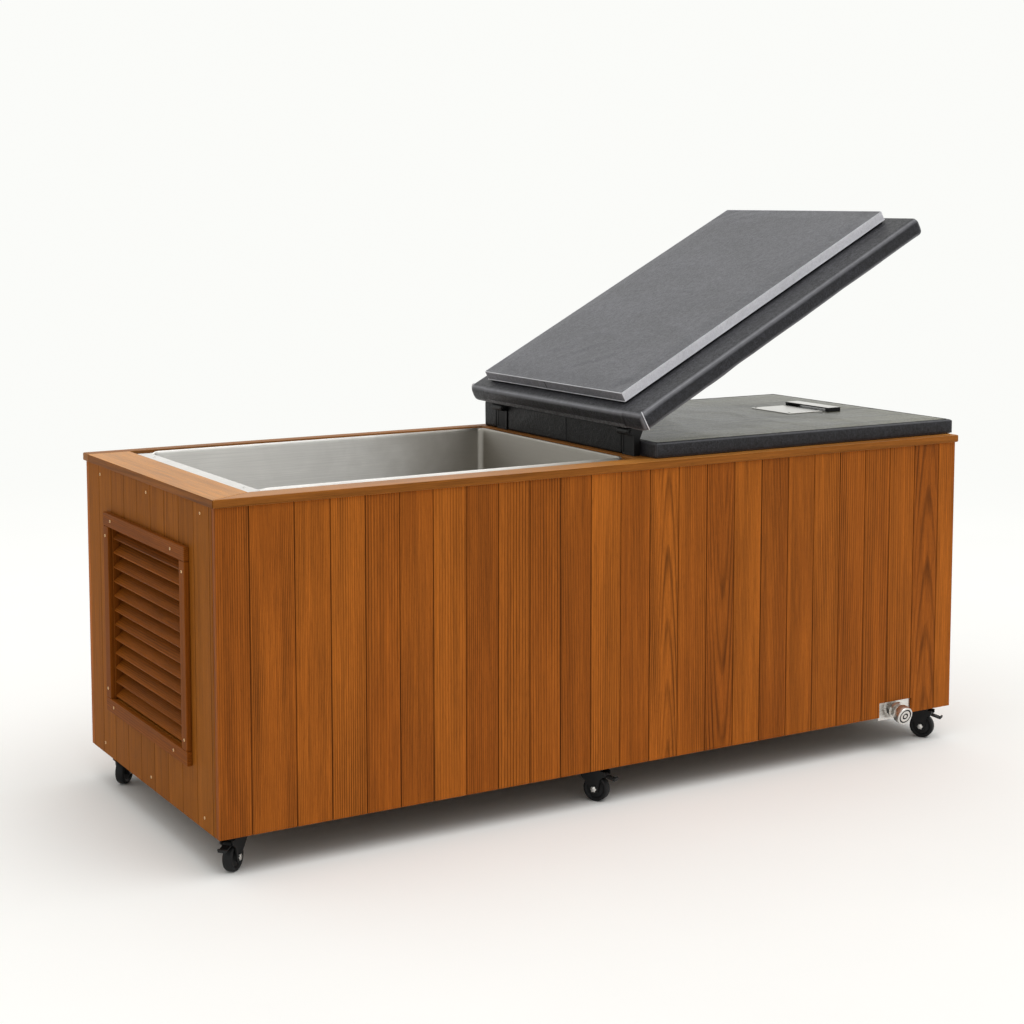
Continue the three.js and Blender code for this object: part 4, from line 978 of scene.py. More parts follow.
class TUB_OT_louvre(bpy.types.Operator):
    """Builds the louvre in the left end: frame, slats and screws"""

    bl_idname = "tub.louvre"
    bl_label = "Louvre"

    def execute(self, context):
        timber = settings()[0]
        out_lo, out_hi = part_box("louvre_frame")
        in_lo, in_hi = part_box("louvre_slats")
        outward = Vector((-1, 0, 0))
        tones = (0.2, 0.6)
        members = Timber(83)
        heights = ((out_lo.z, in_lo.z), (in_hi.z, out_hi.z))
        depths = ((out_lo.y, in_lo.y), (in_hi.y, out_hi.y))
        rails = [((out_lo.y, bottom), (out_hi.y, top), (0, 1, 0)) for bottom, top in heights]
        stiles = [((front, in_lo.z), (back, in_hi.z), (0, 0, 1)) for front, back in depths]
        for low, high, along in rails + stiles:
            members.block((out_lo.x, *low), (out_hi.x, *high), along, outward, timber.slat_edge, tones, 0.0)
        members.piece("louvre_surround", finish("louvre_cedar"), "cedar", ["louvre_frame"])

        slats = Timber(97)
        for front, back in ((in_lo.y, in_lo.y + timber.strip), (in_hi.y - timber.strip, in_hi.y)):
            slats.block(
                (in_lo.x, front, in_lo.z), (in_hi.x, back, in_hi.z), (0, 0, 1), outward,
                timber.board_edge, (0.0, 0.3), 0.0,
            )
        mid_depth = (in_lo.x + in_hi.x) / 2
        pitch = (in_hi.z - in_lo.z) / timber.slats
        inward = Vector((math.cos(timber.slat_tilt), 0, math.sin(timber.slat_tilt)))
        along = Vector((0, 1, 0))
        run = in_hi.y - in_lo.y
        for i in range(timber.slats):
            centre = Vector((mid_depth, in_lo.y, in_lo.z + (i + 0.5) * pitch))
            place = axes(inward, along.cross(inward), along, centre)
            place = place @ Matrix.Translation((-timber.slat_depth / 2, -timber.slat_thickness / 2, 0))
            outline = [(0, 0), (timber.slat_depth, 0), (timber.slat_depth, run), (0, run)]
            slats.board(
                outline, timber.slat_thickness, place, timber.slat_edge, (0.6, 1.0), 0.1, (False, False)
            )
        slats.piece("louvre_blades", finish("louvre_cedar"), "cedar", ["louvre_slats"])

        member = in_lo.y - out_lo.y
        spots = []
        for edge_y, edge_z, into in ((out_lo.y, out_lo.z, 1), (out_hi.y, out_hi.z, -1)):
            spots += [
                (edge_y + into * 0.45 * member, out_lo.z + 1.7 * member),
                (edge_y + into * 0.45 * member, out_hi.z - 1.7 * member),
                (out_lo.y + 2.5 * member, edge_z + into * 0.5 * member),
                (out_hi.y - 1.6 * member, edge_z + into * 0.5 * member),
            ]
        places = [facing(outward, (out_lo.x, y, z)) for y, z in spots]
        screw_set("louvre_screws", places, timber.screw_radius, "brass")
        return {"FINISHED"}


# Basin


def rounded_loop(lo, hi, radius, height, steps=6):
    """Points of a rectangle with round corners, at a height."""
    points = []
    corners = ((hi[0], hi[1], 0), (lo[0], hi[1], 1), (lo[0], lo[1], 2), (hi[0], lo[1], 3))
    for x, y, quarter in corners:
        start = quarter * math.pi / 2
        cx = x - radius if x == hi[0] else x + radius
        cy = y - radius if y == hi[1] else y + radius
        for i in range(steps + 1):
            angle = start + i * math.pi / 2 / steps
            points.append((cx + radius * math.cos(angle), cy + radius * math.sin(angle), height))
    return points


def grown(lo, hi, amount):
    """A rectangle grown on all sides."""
    return (lo[0] - amount, lo[1] - amount), (hi[0] + amount, hi[1] + amount)


class TUB_OT_basin(bpy.types.Operator):
    """Presses the steel basin, its flange screws and its wall fittings"""

    bl_idname = "tub.basin"
    bl_label = "Basin"

    def execute(self, context):
        metal = settings()[2]
        lo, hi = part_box("basin")
        floor, inner_lo, inner_hi = self.inside()
        wall = floor - lo.z
        corner, lip, fillet = metal.basin_corner, metal.lip, metal.floor_fillet
        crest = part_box("rim_front")[1].z - metal.lip_clearance - hi.z
        loops = []
        for inset, drop in ((0.0, 1.0 * MM), (0.3 * MM, 0.3 * MM), (1.0 * MM, 0.0)):
            loops.append(rounded_loop(*grown(lo, hi, -inset), 3 * MM, hi.z - drop))
        flange_rings = len(loops)
        rolled = (
            (1.15, 0.0), (1.0, 0.04), (0.9, 0.2), (0.8, 0.5), (0.68, 0.82), (0.55, 0.97), (0.42, 1.0),
            (0.28, 0.95), (0.14, 0.78), (0.05, 0.5), (0.0, 0.1), (0.0, -0.6),
        )
        for out, rise in rolled:
            around = grown(inner_lo, inner_hi, out * lip)
            loop = [Vector(point) for point in rounded_loop(*around, corner + out * lip, hi.z + rise * crest)]
            for point in loop:
                flatter = 1.0 - taper(point.x, inner_lo.x - lip, inner_lo.x + corner)
                point.z -= 0.85 * flatter * max(0.0, point.z - hi.z)
            loops.append(loop)
        for step in range(6):
            angle = step * math.pi / 10
            into = fillet * (1 - math.cos(angle))
            radius = corner + 0.35 * fillet * math.sin(angle)
            height = floor + fillet * (1 - math.sin(angle))
            loops.append(rounded_loop(*grown(inner_lo, inner_hi, -into), radius, height))
        bm = bmesh.new()
        rings = [[bm.verts.new(point) for point in loop] for loop in loops]
        for step, (first, second) in enumerate(zip(rings, rings[1:])):
            for i in range(len(first)):
                j = (i + 1) % len(first)
                face = bm.faces.new((first[i], first[j], second[j], second[i]))
                # Painted shade: the flange's flat and the lip at the left end take the darker copy of the
                # basin steel.
                end = face.calc_center_median().x < inner_lo.x
                face.material_index = 1 if step < flange_rings or end else 0
        bm.faces.new(rings[-1])
        mesh = mesh_from("basin_shell", bm, 50)
        skins = [finish("brushed_steel"), finish("shaded_flange_steel")]
        shell = new_piece("basin_shell", mesh, skins, "cabinet", ["basin"])
        sheet = shell.modifiers.new("Sheet", "SOLIDIFY")
        sheet.thickness = wall / 2
        sheet.offset = -1.0

        inset, from_front, from_back = 32 * MM, 101 * MM, 81 * MM
        places = [facing((0, 0, 1), (lo.x + inset, y, hi.z)) for y in (lo.y + from_front, hi.y - from_back)]
        screw_set("flange_screws", places, 3.2 * MM, "brushed_steel")
        for node in ("drain_fitting", "suction_fitting", "return_fitting"):
            self.strainer(node)
            refined(node, node + "_body", finish("satin_steel"), metal.plate_edge)
        return {"FINISHED"}

    def inside(self):
        """Height of the basin's floor, and the corners of the room between its walls."""
        points = [v.co for v in NODES["basin"].data.vertices]
        bottom = min(p.z for p in points)
        floor = min(p.z for p in points if p.z > bottom + 0.5 * MM)
        level = [p for p in points if abs(p.z - floor) < 0.1 * MM]
        low = Vector([min(p[i] for p in level) for i in range(2)])
        high = Vector([max(p[i] for p in level) for i in range(2)])
        return floor, low, high

    def strainer(self, node):
        """A dome over a fitting's mouth, inside the basin, with black discs for its holes: painted shade
        standing in for the dark inside of each hole.
        """
        lo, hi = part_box(node)
        radius = (hi.y - lo.y) / 2
        mouth = facing((-1, 0, 0), (lo.x, (lo.y + hi.y) / 2, (lo.z + hi.z) / 2))
        bm = bmesh.new()
        dome = [(0.86, 0.0), (0.84, 0.06), (0.72, 0.17), (0.5, 0.24), (0.25, 0.27), (0.0, 0.28)]
        add_lathe(bm, [(r * radius, h * radius) for r, h in dome], mouth, 48)
        hole = 0.065 * radius
        # Painted shade: each hole is a small black disc on the dome, standing in for the dark inside of the
        # hole.
        hole_shade = [(hole, -0.05 * radius), (hole, 0.0), (0.0, 0.0)]
        for ring, count in ((0.28, 6), (0.52, 12)):
            out = Matrix.Translation((ring * radius, 0.0, (0.285 - 0.13 * ring * ring) * radius))
            for i in range(count):
                turn = Matrix.Rotation(2 * math.pi * i / count, 4, "Z")
                add_lathe(bm, hole_shade, mouth @ turn @ out, 12, 1)
        name = node + "_strainer"
        skins = [finish("satin_steel"), finish("moulded_black")]
        new_piece(name, mesh_from(name, bm), skins, "cabinet")


# Padded covers


def shut_box(node):
    """Lowest and highest corner of a lid node with the lid swung shut."""
    back = LID_SWING.inverted()
    points = [back @ v.co for v in NODES[node].data.vertices]
    return (
        Vector([min(p[i] for p in points) for i in range(3)]),
        Vector([max(p[i] for p in points) for i in range(3)]),
    )


def grid_lines(start, end, radius, cell, extra=()):
    """Lines along one side of a pad: close near its rounded edges and at seams, even between."""
    near = [radius * part for part in (0.0, 0.3, 0.75, 1.3, 2.0)]
    first, last = start + near[-1], end - near[-1]
    count = max(1, round((last - first) / cell))
    lines = [start + n for n in near] + [end - n for n in near]
    lines += [first + (last - first) * i / count for i in range(1, count)]
    kept = []
    for line in sorted([*lines, *extra]):
        if not kept or line - kept[-1] > 0.6 * MM:
            kept.append(line)
    kept[-1] = end
    return kept


SIDES = ("bottom", "top", "front", "back", "left", "right")


def taper(value, start, end):
    """0 at start, 1 at end, with a smooth turn between."""
    t = min(1.0, max(0.0, (value - start) / (end - start)))
    return t * t * (3 - 2 * t)


def pad_mesh(name, lo, hi, radius, cell, seams_x=(), seams_y=()):
    """A closed grid of quads round a box with rounded edges; each face's side is its material index."""
    near = (-3.0 * MM, -1.0 * MM, 0.0, 1.0 * MM, 3.0 * MM)
    xs = grid_lines(lo.x, hi.x, radius, cell, [seam + n for seam in seams_x for n in near])
    ys = grid_lines(lo.y, hi.y, radius, cell, [seam + n for seam in seams_y for n in near])
    zs = grid_lines(lo.z, hi.z, radius, (hi.z - lo.z) / 4)
    core_lo = lo + Vector((radius,) * 3)
    core_hi = hi - Vector((radius,) * 3)
    points, index = [], {}

    def vertex(i, j, k):
        if (i, j, k) not in index:
            point = Vector((xs[i], ys[j], zs[k]))
            inside = Vector([min(max(point[a], core_lo[a]), core_hi[a]) for a in range(3)])
            outward = point - inside
            if outward.length > 0:
                point = inside + outward.normalized() * radius
            index[i, j, k] = len(points)
            points.append(point)
        return index[i, j, k]

    nx, ny, nz = len(xs) - 1, len(ys) - 1, len(zs) - 1
    faces, sides = [], []

    def quad(side, *corners):
        faces.append([vertex(*c) for c in corners])
        sides.append(SIDES.index(side))

    for i in range(nx):
        for j in range(ny):
            quad("bottom", (i, j, 0), (i, j + 1, 0), (i + 1, j + 1, 0), (i + 1, j, 0))
            quad("top", (i, j, nz), (i + 1, j, nz), (i + 1, j + 1, nz), (i, j + 1, nz))
        for k in range(nz):
            quad("front", (i, 0, k), (i + 1, 0, k), (i + 1, 0, k + 1), (i, 0, k + 1))
            quad("back", (i, ny, k), (i, ny, k + 1), (i + 1, ny, k + 1), (i + 1, ny, k))
    for j in range(ny):
        for k in range(nz):
            quad("left", (0, j, k), (0, j, k + 1), (0, j + 1, k + 1), (0, j + 1, k))
            quad("right", (nx, j, k), (nx, j + 1, k), (nx, j + 1, k + 1), (nx, j, k + 1))
    mesh = bpy.data.meshes.new(name)
    mesh.from_pydata(points, [], faces)
    mesh.polygons.foreach_set("material_index", sides)
    ridge = mesh.attributes.new("ridge", "FLOAT", "POINT")
    for item, point in zip(ridge.data, points):
        away = sorted(min(point[a] - lo[a], hi[a] - point[a]) for a in range(3))
        item.value = 1.0 - taper(away[1], 0.0, 1.3 * radius)
    mesh.update()
    return mesh


def swell(mesh, reach, pressure, slack, frames=18):
    """Swells a pad's skin by a short cloth simulation; reach gives how far each point may move."""
    scene = bpy.context.scene
    stand_in = bpy.data.objects.new("swelling", mesh)
    scene.collection.objects.link(stand_in)
    rest = [v.co.copy() for v in mesh.vertices]
    reaches = [reach(co) for co in rest]
    held = stand_in.vertex_groups.new(name="held")
    held.add([i for i, far in enumerate(reaches) if far <= 0.0], 1.0, "REPLACE")
    cloth = stand_in.modifiers.new("Skin", "CLOTH")
    skin = cloth.settings
    skin.quality = 5
    skin.mass = 0.2
    skin.tension_stiffness = 18.0
    skin.compression_stiffness = 18.0
    skin.shear_stiffness = 8.0
    skin.bending_stiffness = 0.6
    skin.use_pressure = True
    skin.uniform_pressure_force = pressure
    skin.shrink_min = -slack
    skin.vertex_group_mass = held.name
    skin.effector_weights.gravity = 0.0
    cloth.collision_settings.use_collision = False
    cloth.point_cache.frame_start = 1
    cloth.point_cache.frame_end = frames
    for number in range(1, frames + 1):
        scene.frame_set(number)
    solved = stand_in.evaluated_get(bpy.context.evaluated_depsgraph_get()).data
    for v, was, far, now in zip(mesh.vertices, rest, reaches, solved.vertices):
        move = now.co - was
        if move.length > far:
            move *= far / move.length if move.length else 0.0
        v.co = was + move
    scene.frame_set(1)
    bpy.data.objects.remove(stand_in)
    mesh.update()


def rumple(mesh, reach, depth, scale):
    """Adds faint folds to a pad's skin, deepest where it may move most."""
    moves = []
    for v in mesh.vertices:
        fold = noise.fractal(v.co * scale, 1.0, 2.0, 3)
        ridge = noise.noise(Vector((v.co.x * 9.0, v.co.y * 2.4, v.co.z)) + Vector((0.0, fold, 0.0)))
        moves.append(v.normal * depth * (0.6 * fold + 0.7 * ridge) * min(1.0, reach(v.co) / (2 * MM)))
    for v, move in zip(mesh.vertices, moves):
        v.co += move
    mesh.update()


def crease(mesh, start, end, level, width, depth):
    """Presses a soft crease into the skin below a level: a ridge beside a valley, fading at both ends."""
    along = end - start
    for v in mesh.vertices:
        if v.co.z > level:
            continue
        offset = v.co.xy - start
        share = offset.dot(along) / along.length_squared
        if 0.0 < share < 1.0:
            beside = along.cross(offset) / along.length / width
            v.co.z += 2 * depth * beside * math.exp(-beside * beside) * math.sin(math.pi * share)
    mesh.update()


def edge_loop(lo, hi, radius, height, inset):
    """A closed line round a pad's edge, just inside its corners."""
    inner_lo = (lo.x + inset, lo.y + inset)
    inner_hi = (hi.x - inset, hi.y - inset)
    return [Vector(p) for p in rounded_loop(inner_lo, inner_hi, max(radius, 2 * MM), height, 4)]


def welt_piece(name, lines, radius, material, body, swing=None):
    """Sewn edges: thin tubes along lines, each a (points, closed) pair."""
    bm = bmesh.new()
    for points, closed in lines:
        add_tube(bm, points, radius, 8, closed)
    mesh = mesh_from(name, bm, 60)
    if swing is not None:
        mesh.transform(swing)
    return new_piece(name, mesh, [finish(material)], body)


def subdivided(piece):
    """Gives a pad one level of subdivision."""
    smoother = piece.modifiers.new("Smooth skin", "SUBSURF")
    smoother.levels = smoother.render_levels = 1
    return piece


# Ends of the sheet's soft creases, as shares of its length from the free end and of its width from the front
SHEET_CREASES = (
    ((0.075, 0.985), (0.012, 0.76)),
    ((0.085, 0.88), (0.012, 0.62)),
    ((0.93, 0.68), (0.77, 0.46)),
    ((0.95, 0.55), (0.83, 0.28)),
    ((0.88, 0.80), (0.82, 0.62)),
)


class TUB_OT_lid(bpy.types.Operator):
    """Upholsters the hinged lid: outer panel with folded corners, inner pad and sewn edges"""

    bl_idname = "tub.lid"
    bl_label = "Lid"

    def execute(self, context):
        self.panel()
        self.inner_pad()
        return {"FINISHED"}

    def panel(self):
        padding = settings()[1]
        lo, hi = shut_box("lid_panel")
        leaf_end = shut_box("hinge_leaf_front")[0].x
        seams = (lo.y + padding.ear, hi.y - padding.ear)
        mesh = pad_mesh("lid_panel_pad", lo, hi, padding.panel_edge, padding.cell, (), seams)

        def reach(p):
            if p.z < lo.z + 0.2 * padding.panel_edge:
                return 0.0
            away = taper(leaf_end - p.x, -0.02, 0.12)
            return padding.swell * away * (1.0 if p.z > hi.z - 1 * MM else 0.5)

        swell(mesh, reach, 2.0, 0.006)
        rumple(mesh, reach, 0.0012, 6.0)
        self.fold_end(mesh, lo, hi)
        inner = SIDES.index("bottom")
        mesh.polygons.foreach_set("material_index", [int(f.material_index == inner) for f in mesh.polygons])
        mesh.transform(LID_SWING)
        smooth(mesh, 60)
        skins = [finish("highlit_panel_vinyl"), finish("lit_border_vinyl")]
        pad = new_piece("lid_panel_pad", mesh, skins, "lid", ["lid_panel"])
        subdivided(pad)

        end = hi.x + padding.flap
        strip_hi = hi.z - 0.45 * padding.panel_edge
        bm = bmesh.new()
        middle = (lo.y + hi.y) / 2 + padding.hem_split
        for front, back in ((seams[0], middle - 0.4 * MM), (middle + 0.4 * MM, seams[1])):
            add_box(bm, (end - 1.5 * MM, front, strip_hi - padding.hem), (end + 0.4 * MM, back, strip_hi))
        bevel_sharp(bm, 0.5 * MM)
        strip = mesh_from("lid_hem", bm)
        strip.transform(LID_SWING)
        new_piece("lid_hem", strip, [finish("strip_vinyl")], "lid")

        corner = padding.panel_edge
        lines = []
        for y, out in ((lo.y, -1), (hi.y, 1)):
            spine = []
            for i in range(9):
                angle = math.pi * (i / 8 - 0.5)
                z = (lo.z + hi.z) / 2 + (hi.z - lo.z) / 2 * math.sin(angle) * 0.97
                tuck = (1 - math.cos(angle)) * 0.5 * corner
                bulge = padding.ear_bulge * math.cos(angle)
                spine.append((hi.x - 0.55 * corner - tuck, y + out * (bulge - tuck), z))
            lines.append((spine, False))
        welt_piece("lid_corner_welts", lines, padding.welt, "hem_vinyl", "lid", LID_SWING)

    def fold_end(self, mesh, lo, hi):
        """Folds the skin at the hinge end: a proud middle flap between two bulging, slanted corners."""
        padding = settings()[1]
        half = (hi.z - lo.z) / 2
        centre = (lo.z + hi.z) / 2
        for v in mesh.vertices:
            depth = hi.x - v.co.x
            if depth > 0.08:
                continue
            level = (v.co.z - centre) / half
            reach = min(v.co.y - lo.y, hi.y - v.co.y)
            fold = padding.ear - 1 * MM
            on_end = 1.0 - taper(depth, 0.2 * padding.panel_edge, padding.panel_edge)
            if reach > fold:
                v.co.x += padding.flap * on_end
            elif reach > fold - 4 * MM:
                v.co.x -= 1.2 * MM * on_end
            else:
                v.co.x += padding.ear_slant * 0.12 * level * on_end
            bulge = padding.ear_bulge * (1.0 - taper(depth, 0.01, 0.08)) * (1 - level * level)
            side = 1.0 - taper(reach, 0.0, padding.ear)
            v.co.y += math.copysign(bulge * side, v.co.y - (lo.y + hi.y) / 2)
        mesh.update()

    def inner_pad(self):
        padding = settings()[1]
        lo, base = shut_box("lid_plug")
        # Painted shade: a black band inset under the inner pad stands in for the shadow in the gap between
        # the pad and the panel.
        inset = Vector((1.2, 1.2, 0.0)) * padding.recess
        shadow_band = pad_mesh(
            "inner_pad_shadow_band", Vector((lo.x, lo.y, base.z - 1.4 * padding.recess)) + inset, base - inset,
            1 * MM, 4 * padding.cell,
        )
        shadow_band.polygons.foreach_set("material_index", [0] * len(shadow_band.polygons))
        shadow_band.transform(LID_SWING)
        smooth(shadow_band)
        dark = [finish("apron_vinyl")]
        new_piece("inner_pad_shadow_band", shadow_band, dark, "lid")

        hi = base - Vector((0.0, 0.0, padding.recess))
        mesh = pad_mesh("lid_inner_pad", lo, hi, padding.plug_edge, padding.cell)

        def reach(p):
            inset = min(p.x - lo.x, hi.x - p.x, p.y - lo.y, hi.y - p.y)
            if p.z > lo.z + 1.2 * padding.plug_edge:
                return 0.0
            return padding.swell * taper(inset, 0.002, 0.05)

        swell(mesh, reach, 0.8, 0.008)
        rumple(mesh, reach, 0.0010, 5.0)
        size = hi - lo
        for ends in SHEET_CREASES:
            start, end = (lo.xy + Vector((x * size.x, y * size.y)) for x, y in ends)
            crease(mesh, start, end, lo.z + padding.plug_edge, padding.crease_width, padding.crease_depth)
        # Painted shade: the hinge end takes the darker grey, the other sides the silver band.
        kinds = {SIDES.index("bottom"): 0, SIDES.index("right"): 2}
        mesh.polygons.foreach_set("material_index", [kinds.get(f.material_index, 1) for f in mesh.polygons])
        mesh.transform(LID_SWING)
        smooth(mesh, 50)
        pad = new_piece(
            "lid_inner_pad", mesh, [finish("charcoal_sheet"), finish("silver_vinyl"), finish("shaded_end_grey_vinyl")],
            "lid", ["lid_plug"],
        )
        subdivided(pad)
        sink = 0.25 * padding.plug_edge
        lines = [
            (edge_loop(lo, hi, padding.plug_edge, lo.z + 1.1 * padding.welt, sink), True),
            (edge_loop(lo, hi, padding.plug_edge, hi.z - 1.0 * padding.welt, 0.0), True),
        ]
        welt_piece("inner_pad_welts", lines, padding.welt, "hem_vinyl", "lid", LID_SWING)
        middle = (lo.y + hi.y) / 2 + padding.seam_offset
        seam = [(hi.x + 0.2 * MM, middle, lo.z + 2 * MM), (hi.x + 0.2 * MM, middle, hi.z - 2 * MM)]
        welt_piece("inner_pad_seam", [(seam, False)], 0.7 * MM, "black_vinyl", "lid", LID_SWING)


class TUB_OT_bay_cover(bpy.types.Operator):
    """Upholsters the flat cover over the equipment bay"""

    bl_idname = "tub.bay_cover"
    bl_label = "Bay cover"

    def execute(self, context):
        padding = settings()[1]
        lo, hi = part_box("bay_cover")
        band = padding.border
        seams = (lo.x + band, hi.x - band), (lo.y + band, hi.y - band)
        mesh = pad_mesh("bay_cover_pad", lo, hi, padding.cover_edge, padding.cell, *seams)
        plate_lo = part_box("handle_plate")[0]
        bar_lo, bar_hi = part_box("handle_bar")

        def reach(p):
            if p.z < hi.z - 1.2 * padding.cover_edge:
                return 0.0
            inset = min(p.x - lo.x, hi.x - p.x, p.y - lo.y, hi.y - p.y)
            off_x = max(plate_lo.x - p.x, p.x - bar_hi.x, 0.0)
            off_y = max(bar_lo.y - p.y, p.y - bar_hi.y, 0.0)
            clear = taper(math.hypot(off_x, off_y), 0.004, 0.08)
            return 0.6 * padding.swell * taper(inset, 0.002, 0.06) * clear

        swell(mesh, reach, 0.5, 0.005)
        rumple(mesh, reach, 0.0008, 5.0)
        kinds = []
        for face in mesh.polygons:
            at = face.center
            inset = min(at.x - lo.x, hi.x - at.x, at.y - lo.y, hi.y - at.y)
            kinds.append(0 if face.material_index == SIDES.index("top") and inset > band else 1)
        mesh.polygons.foreach_set("material_index", kinds)
        smooth(mesh, 50)
        pad = new_piece(
            "bay_cover_pad", mesh, [finish("moss_vinyl"), finish("black_vinyl")], "bay_cover_unit",
            ["bay_cover"],
        )
        subdivided(pad)
        inset = 0.3 * padding.cover_edge
        lines = [(edge_loop(lo, hi, padding.cover_edge, hi.z, band), True)]
        for x in (lo.x + inset, hi.x - inset):
            for y in (lo.y + inset, hi.y - inset):
                lines.append(([(x, y, lo.z + 2 * MM), (x, y, hi.z - 3 * MM)], False))
        middle = (lo.y + hi.y) / 2
        lines.append(([(lo.x, middle, lo.z + 2 * MM), (lo.x, middle, hi.z - 3 * MM)], False))
        thin = 0.8 * padding.welt
        welt_piece("bay_cover_welts", lines, thin, "apron_vinyl", "bay_cover_unit")
        return {"FINISHED"}


class TUB_OT_apron(bpy.types.Operator):
    """Stands the padded apron between the hinge brackets, against the bay cover"""

    bl_idname = "tub.apron"
    bl_label = "Apron"

    def execute(self, context):
        padding = settings()[1]
        cover_lo, cover_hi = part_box("bay_cover")
        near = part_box("hinge_bracket_front")[1].y
        far_lo, far_hi = (corner.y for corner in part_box("hinge_bracket_back"))
        shut_end = shut_box("lid_panel")[1].x + padding.flap
        gap = 1 * MM
        low = Vector((shut_end + 2 * gap, near + gap, cover_lo.z))
        high = Vector((cover_lo.x - gap, far_lo - gap, cover_hi.z + padding.apron_rise))
        self.pad("hinge_apron", low, high)
        beyond = cover_hi.y + padding.ear / 2
        self.pad("hinge_apron_end", Vector((low.x, far_hi + gap, low.z)), Vector((high.x, beyond, high.z)))
        middle_y = (cover_lo.y + cover_hi.y) / 2
        seam = [(low.x, middle_y, low.z + 3 * gap), (low.x, middle_y, high.z - 3 * gap)]
        welt_piece("apron_seam", [(seam, False)], padding.welt, "black_vinyl", "cabinet")
        return {"FINISHED"}

    def pad(self, name, lo, hi):
        """One padded strip of the apron."""
        padding = settings()[1]
        mesh = pad_mesh(name, lo, hi, 4 * MM, padding.cell)
        mesh.polygons.foreach_set("material_index", [0] * len(mesh.polygons))

        def reach(p):
            return 1.2 * MM * taper(p.z, lo.z, (lo.z + hi.z) / 2) if p.x < (lo.x + hi.x) / 2 else 0.0

        rumple(mesh, reach, 0.0012, 9.0)
        smooth(mesh, 60)
        piece = new_piece(name, mesh, [finish("apron_vinyl")], "cabinet")
        subdivided(piece)


# Metalwork


class TUB_OT_hinges(bpy.types.Operator):
    """Finishes the hinge brackets and leaves, with their screws and black fillers between the brackets'
    cheeks, painted shade for the gap there
    """

    bl_idname = "tub.hinges"
    bl_label = "Hinges"

    def execute(self, context):
        metal = settings()[2]
        black = finish("black_paint")
        for side in ("front", "back"):
            refined(f"hinge_bracket_{side}", f"bracket_{side}", black, metal.plate_edge)
            refined(f"hinge_leaf_{side}", f"leaf_{side}", black, metal.plate_edge)
            lo, hi = shut_box(f"hinge_leaf_{side}")
            leaf_top = shut_box("lid_panel")[1].z + 4.3 * MM
            places = [
                facing((0, 0, 1), (lo.x + part * (PIVOT.x - lo.x), (lo.y + hi.y) / 2, leaf_top))
                for part in (0.15, 0.45, 0.75)
            ]
            screw_set(f"leaf_screws_{side}", places, 4.0 * MM, "satin_steel", "lid", LID_SWING)
            self.shade_filler(side)
        return {"FINISHED"}

    def shade_filler(self, side):
        """A black rubber block between a bracket's cheeks, under the knuckle and in front of the bay cover:
        painted shade for the gap there.
        """
        leaf_lo, leaf_hi = shut_box(f"hinge_leaf_{side}")
        front = shut_box("lid_panel")[1].x + settings()[1].flap + 2 * MM
        low = (front, leaf_lo.y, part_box(f"hinge_bracket_{side}")[0].z + 5.2 * MM)
        high = (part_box("bay_cover")[0].x - 1 * MM, leaf_hi.y, leaf_lo.z - 0.6 * MM)
        bm = bmesh.new()
        add_box(bm, low, high)
        bevel_sharp(bm, 2 * MM)
        name = f"bracket_shade_filler_{side}"
        new_piece(name, mesh_from(name, bm), [finish("rubber")], "cabinet")


class TUB_OT_handle(bpy.types.Operator):
    """Finishes the pull plate and the raised bar on the bay cover"""

    bl_idname = "tub.handle"
    bl_label = "Handle"

    def execute(self, context):
        metal = settings()[2]
        steel = finish("satin_steel")
        refined("handle_plate", "pull_plate", steel, metal.plate_edge)
        bar = refined("handle_bar", "pull_bar", steel, metal.plate_edge)
        # Partly painted shade: the bar's sides and underside are black, partly its black body and partly
        # standing in for the shadow under the raised bar.
        bar.data.materials.append(finish("black_paint"))
        for face in bar.data.polygons:
            face.material_index = 0 if face.normal.z > 0.5 else 1
        lo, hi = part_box("handle_plate")
        inset = 9 * MM
        places = [
            facing((0, 0, 1), (x, y, hi.z))
            for x in (lo.x + inset, hi.x - inset) for y in (lo.y + inset, hi.y - inset)
        ]
        screw_set("pull_plate_screws", places, 3.0 * MM, "satin_steel", "bay_cover_unit")
        return {"FINISHED"}


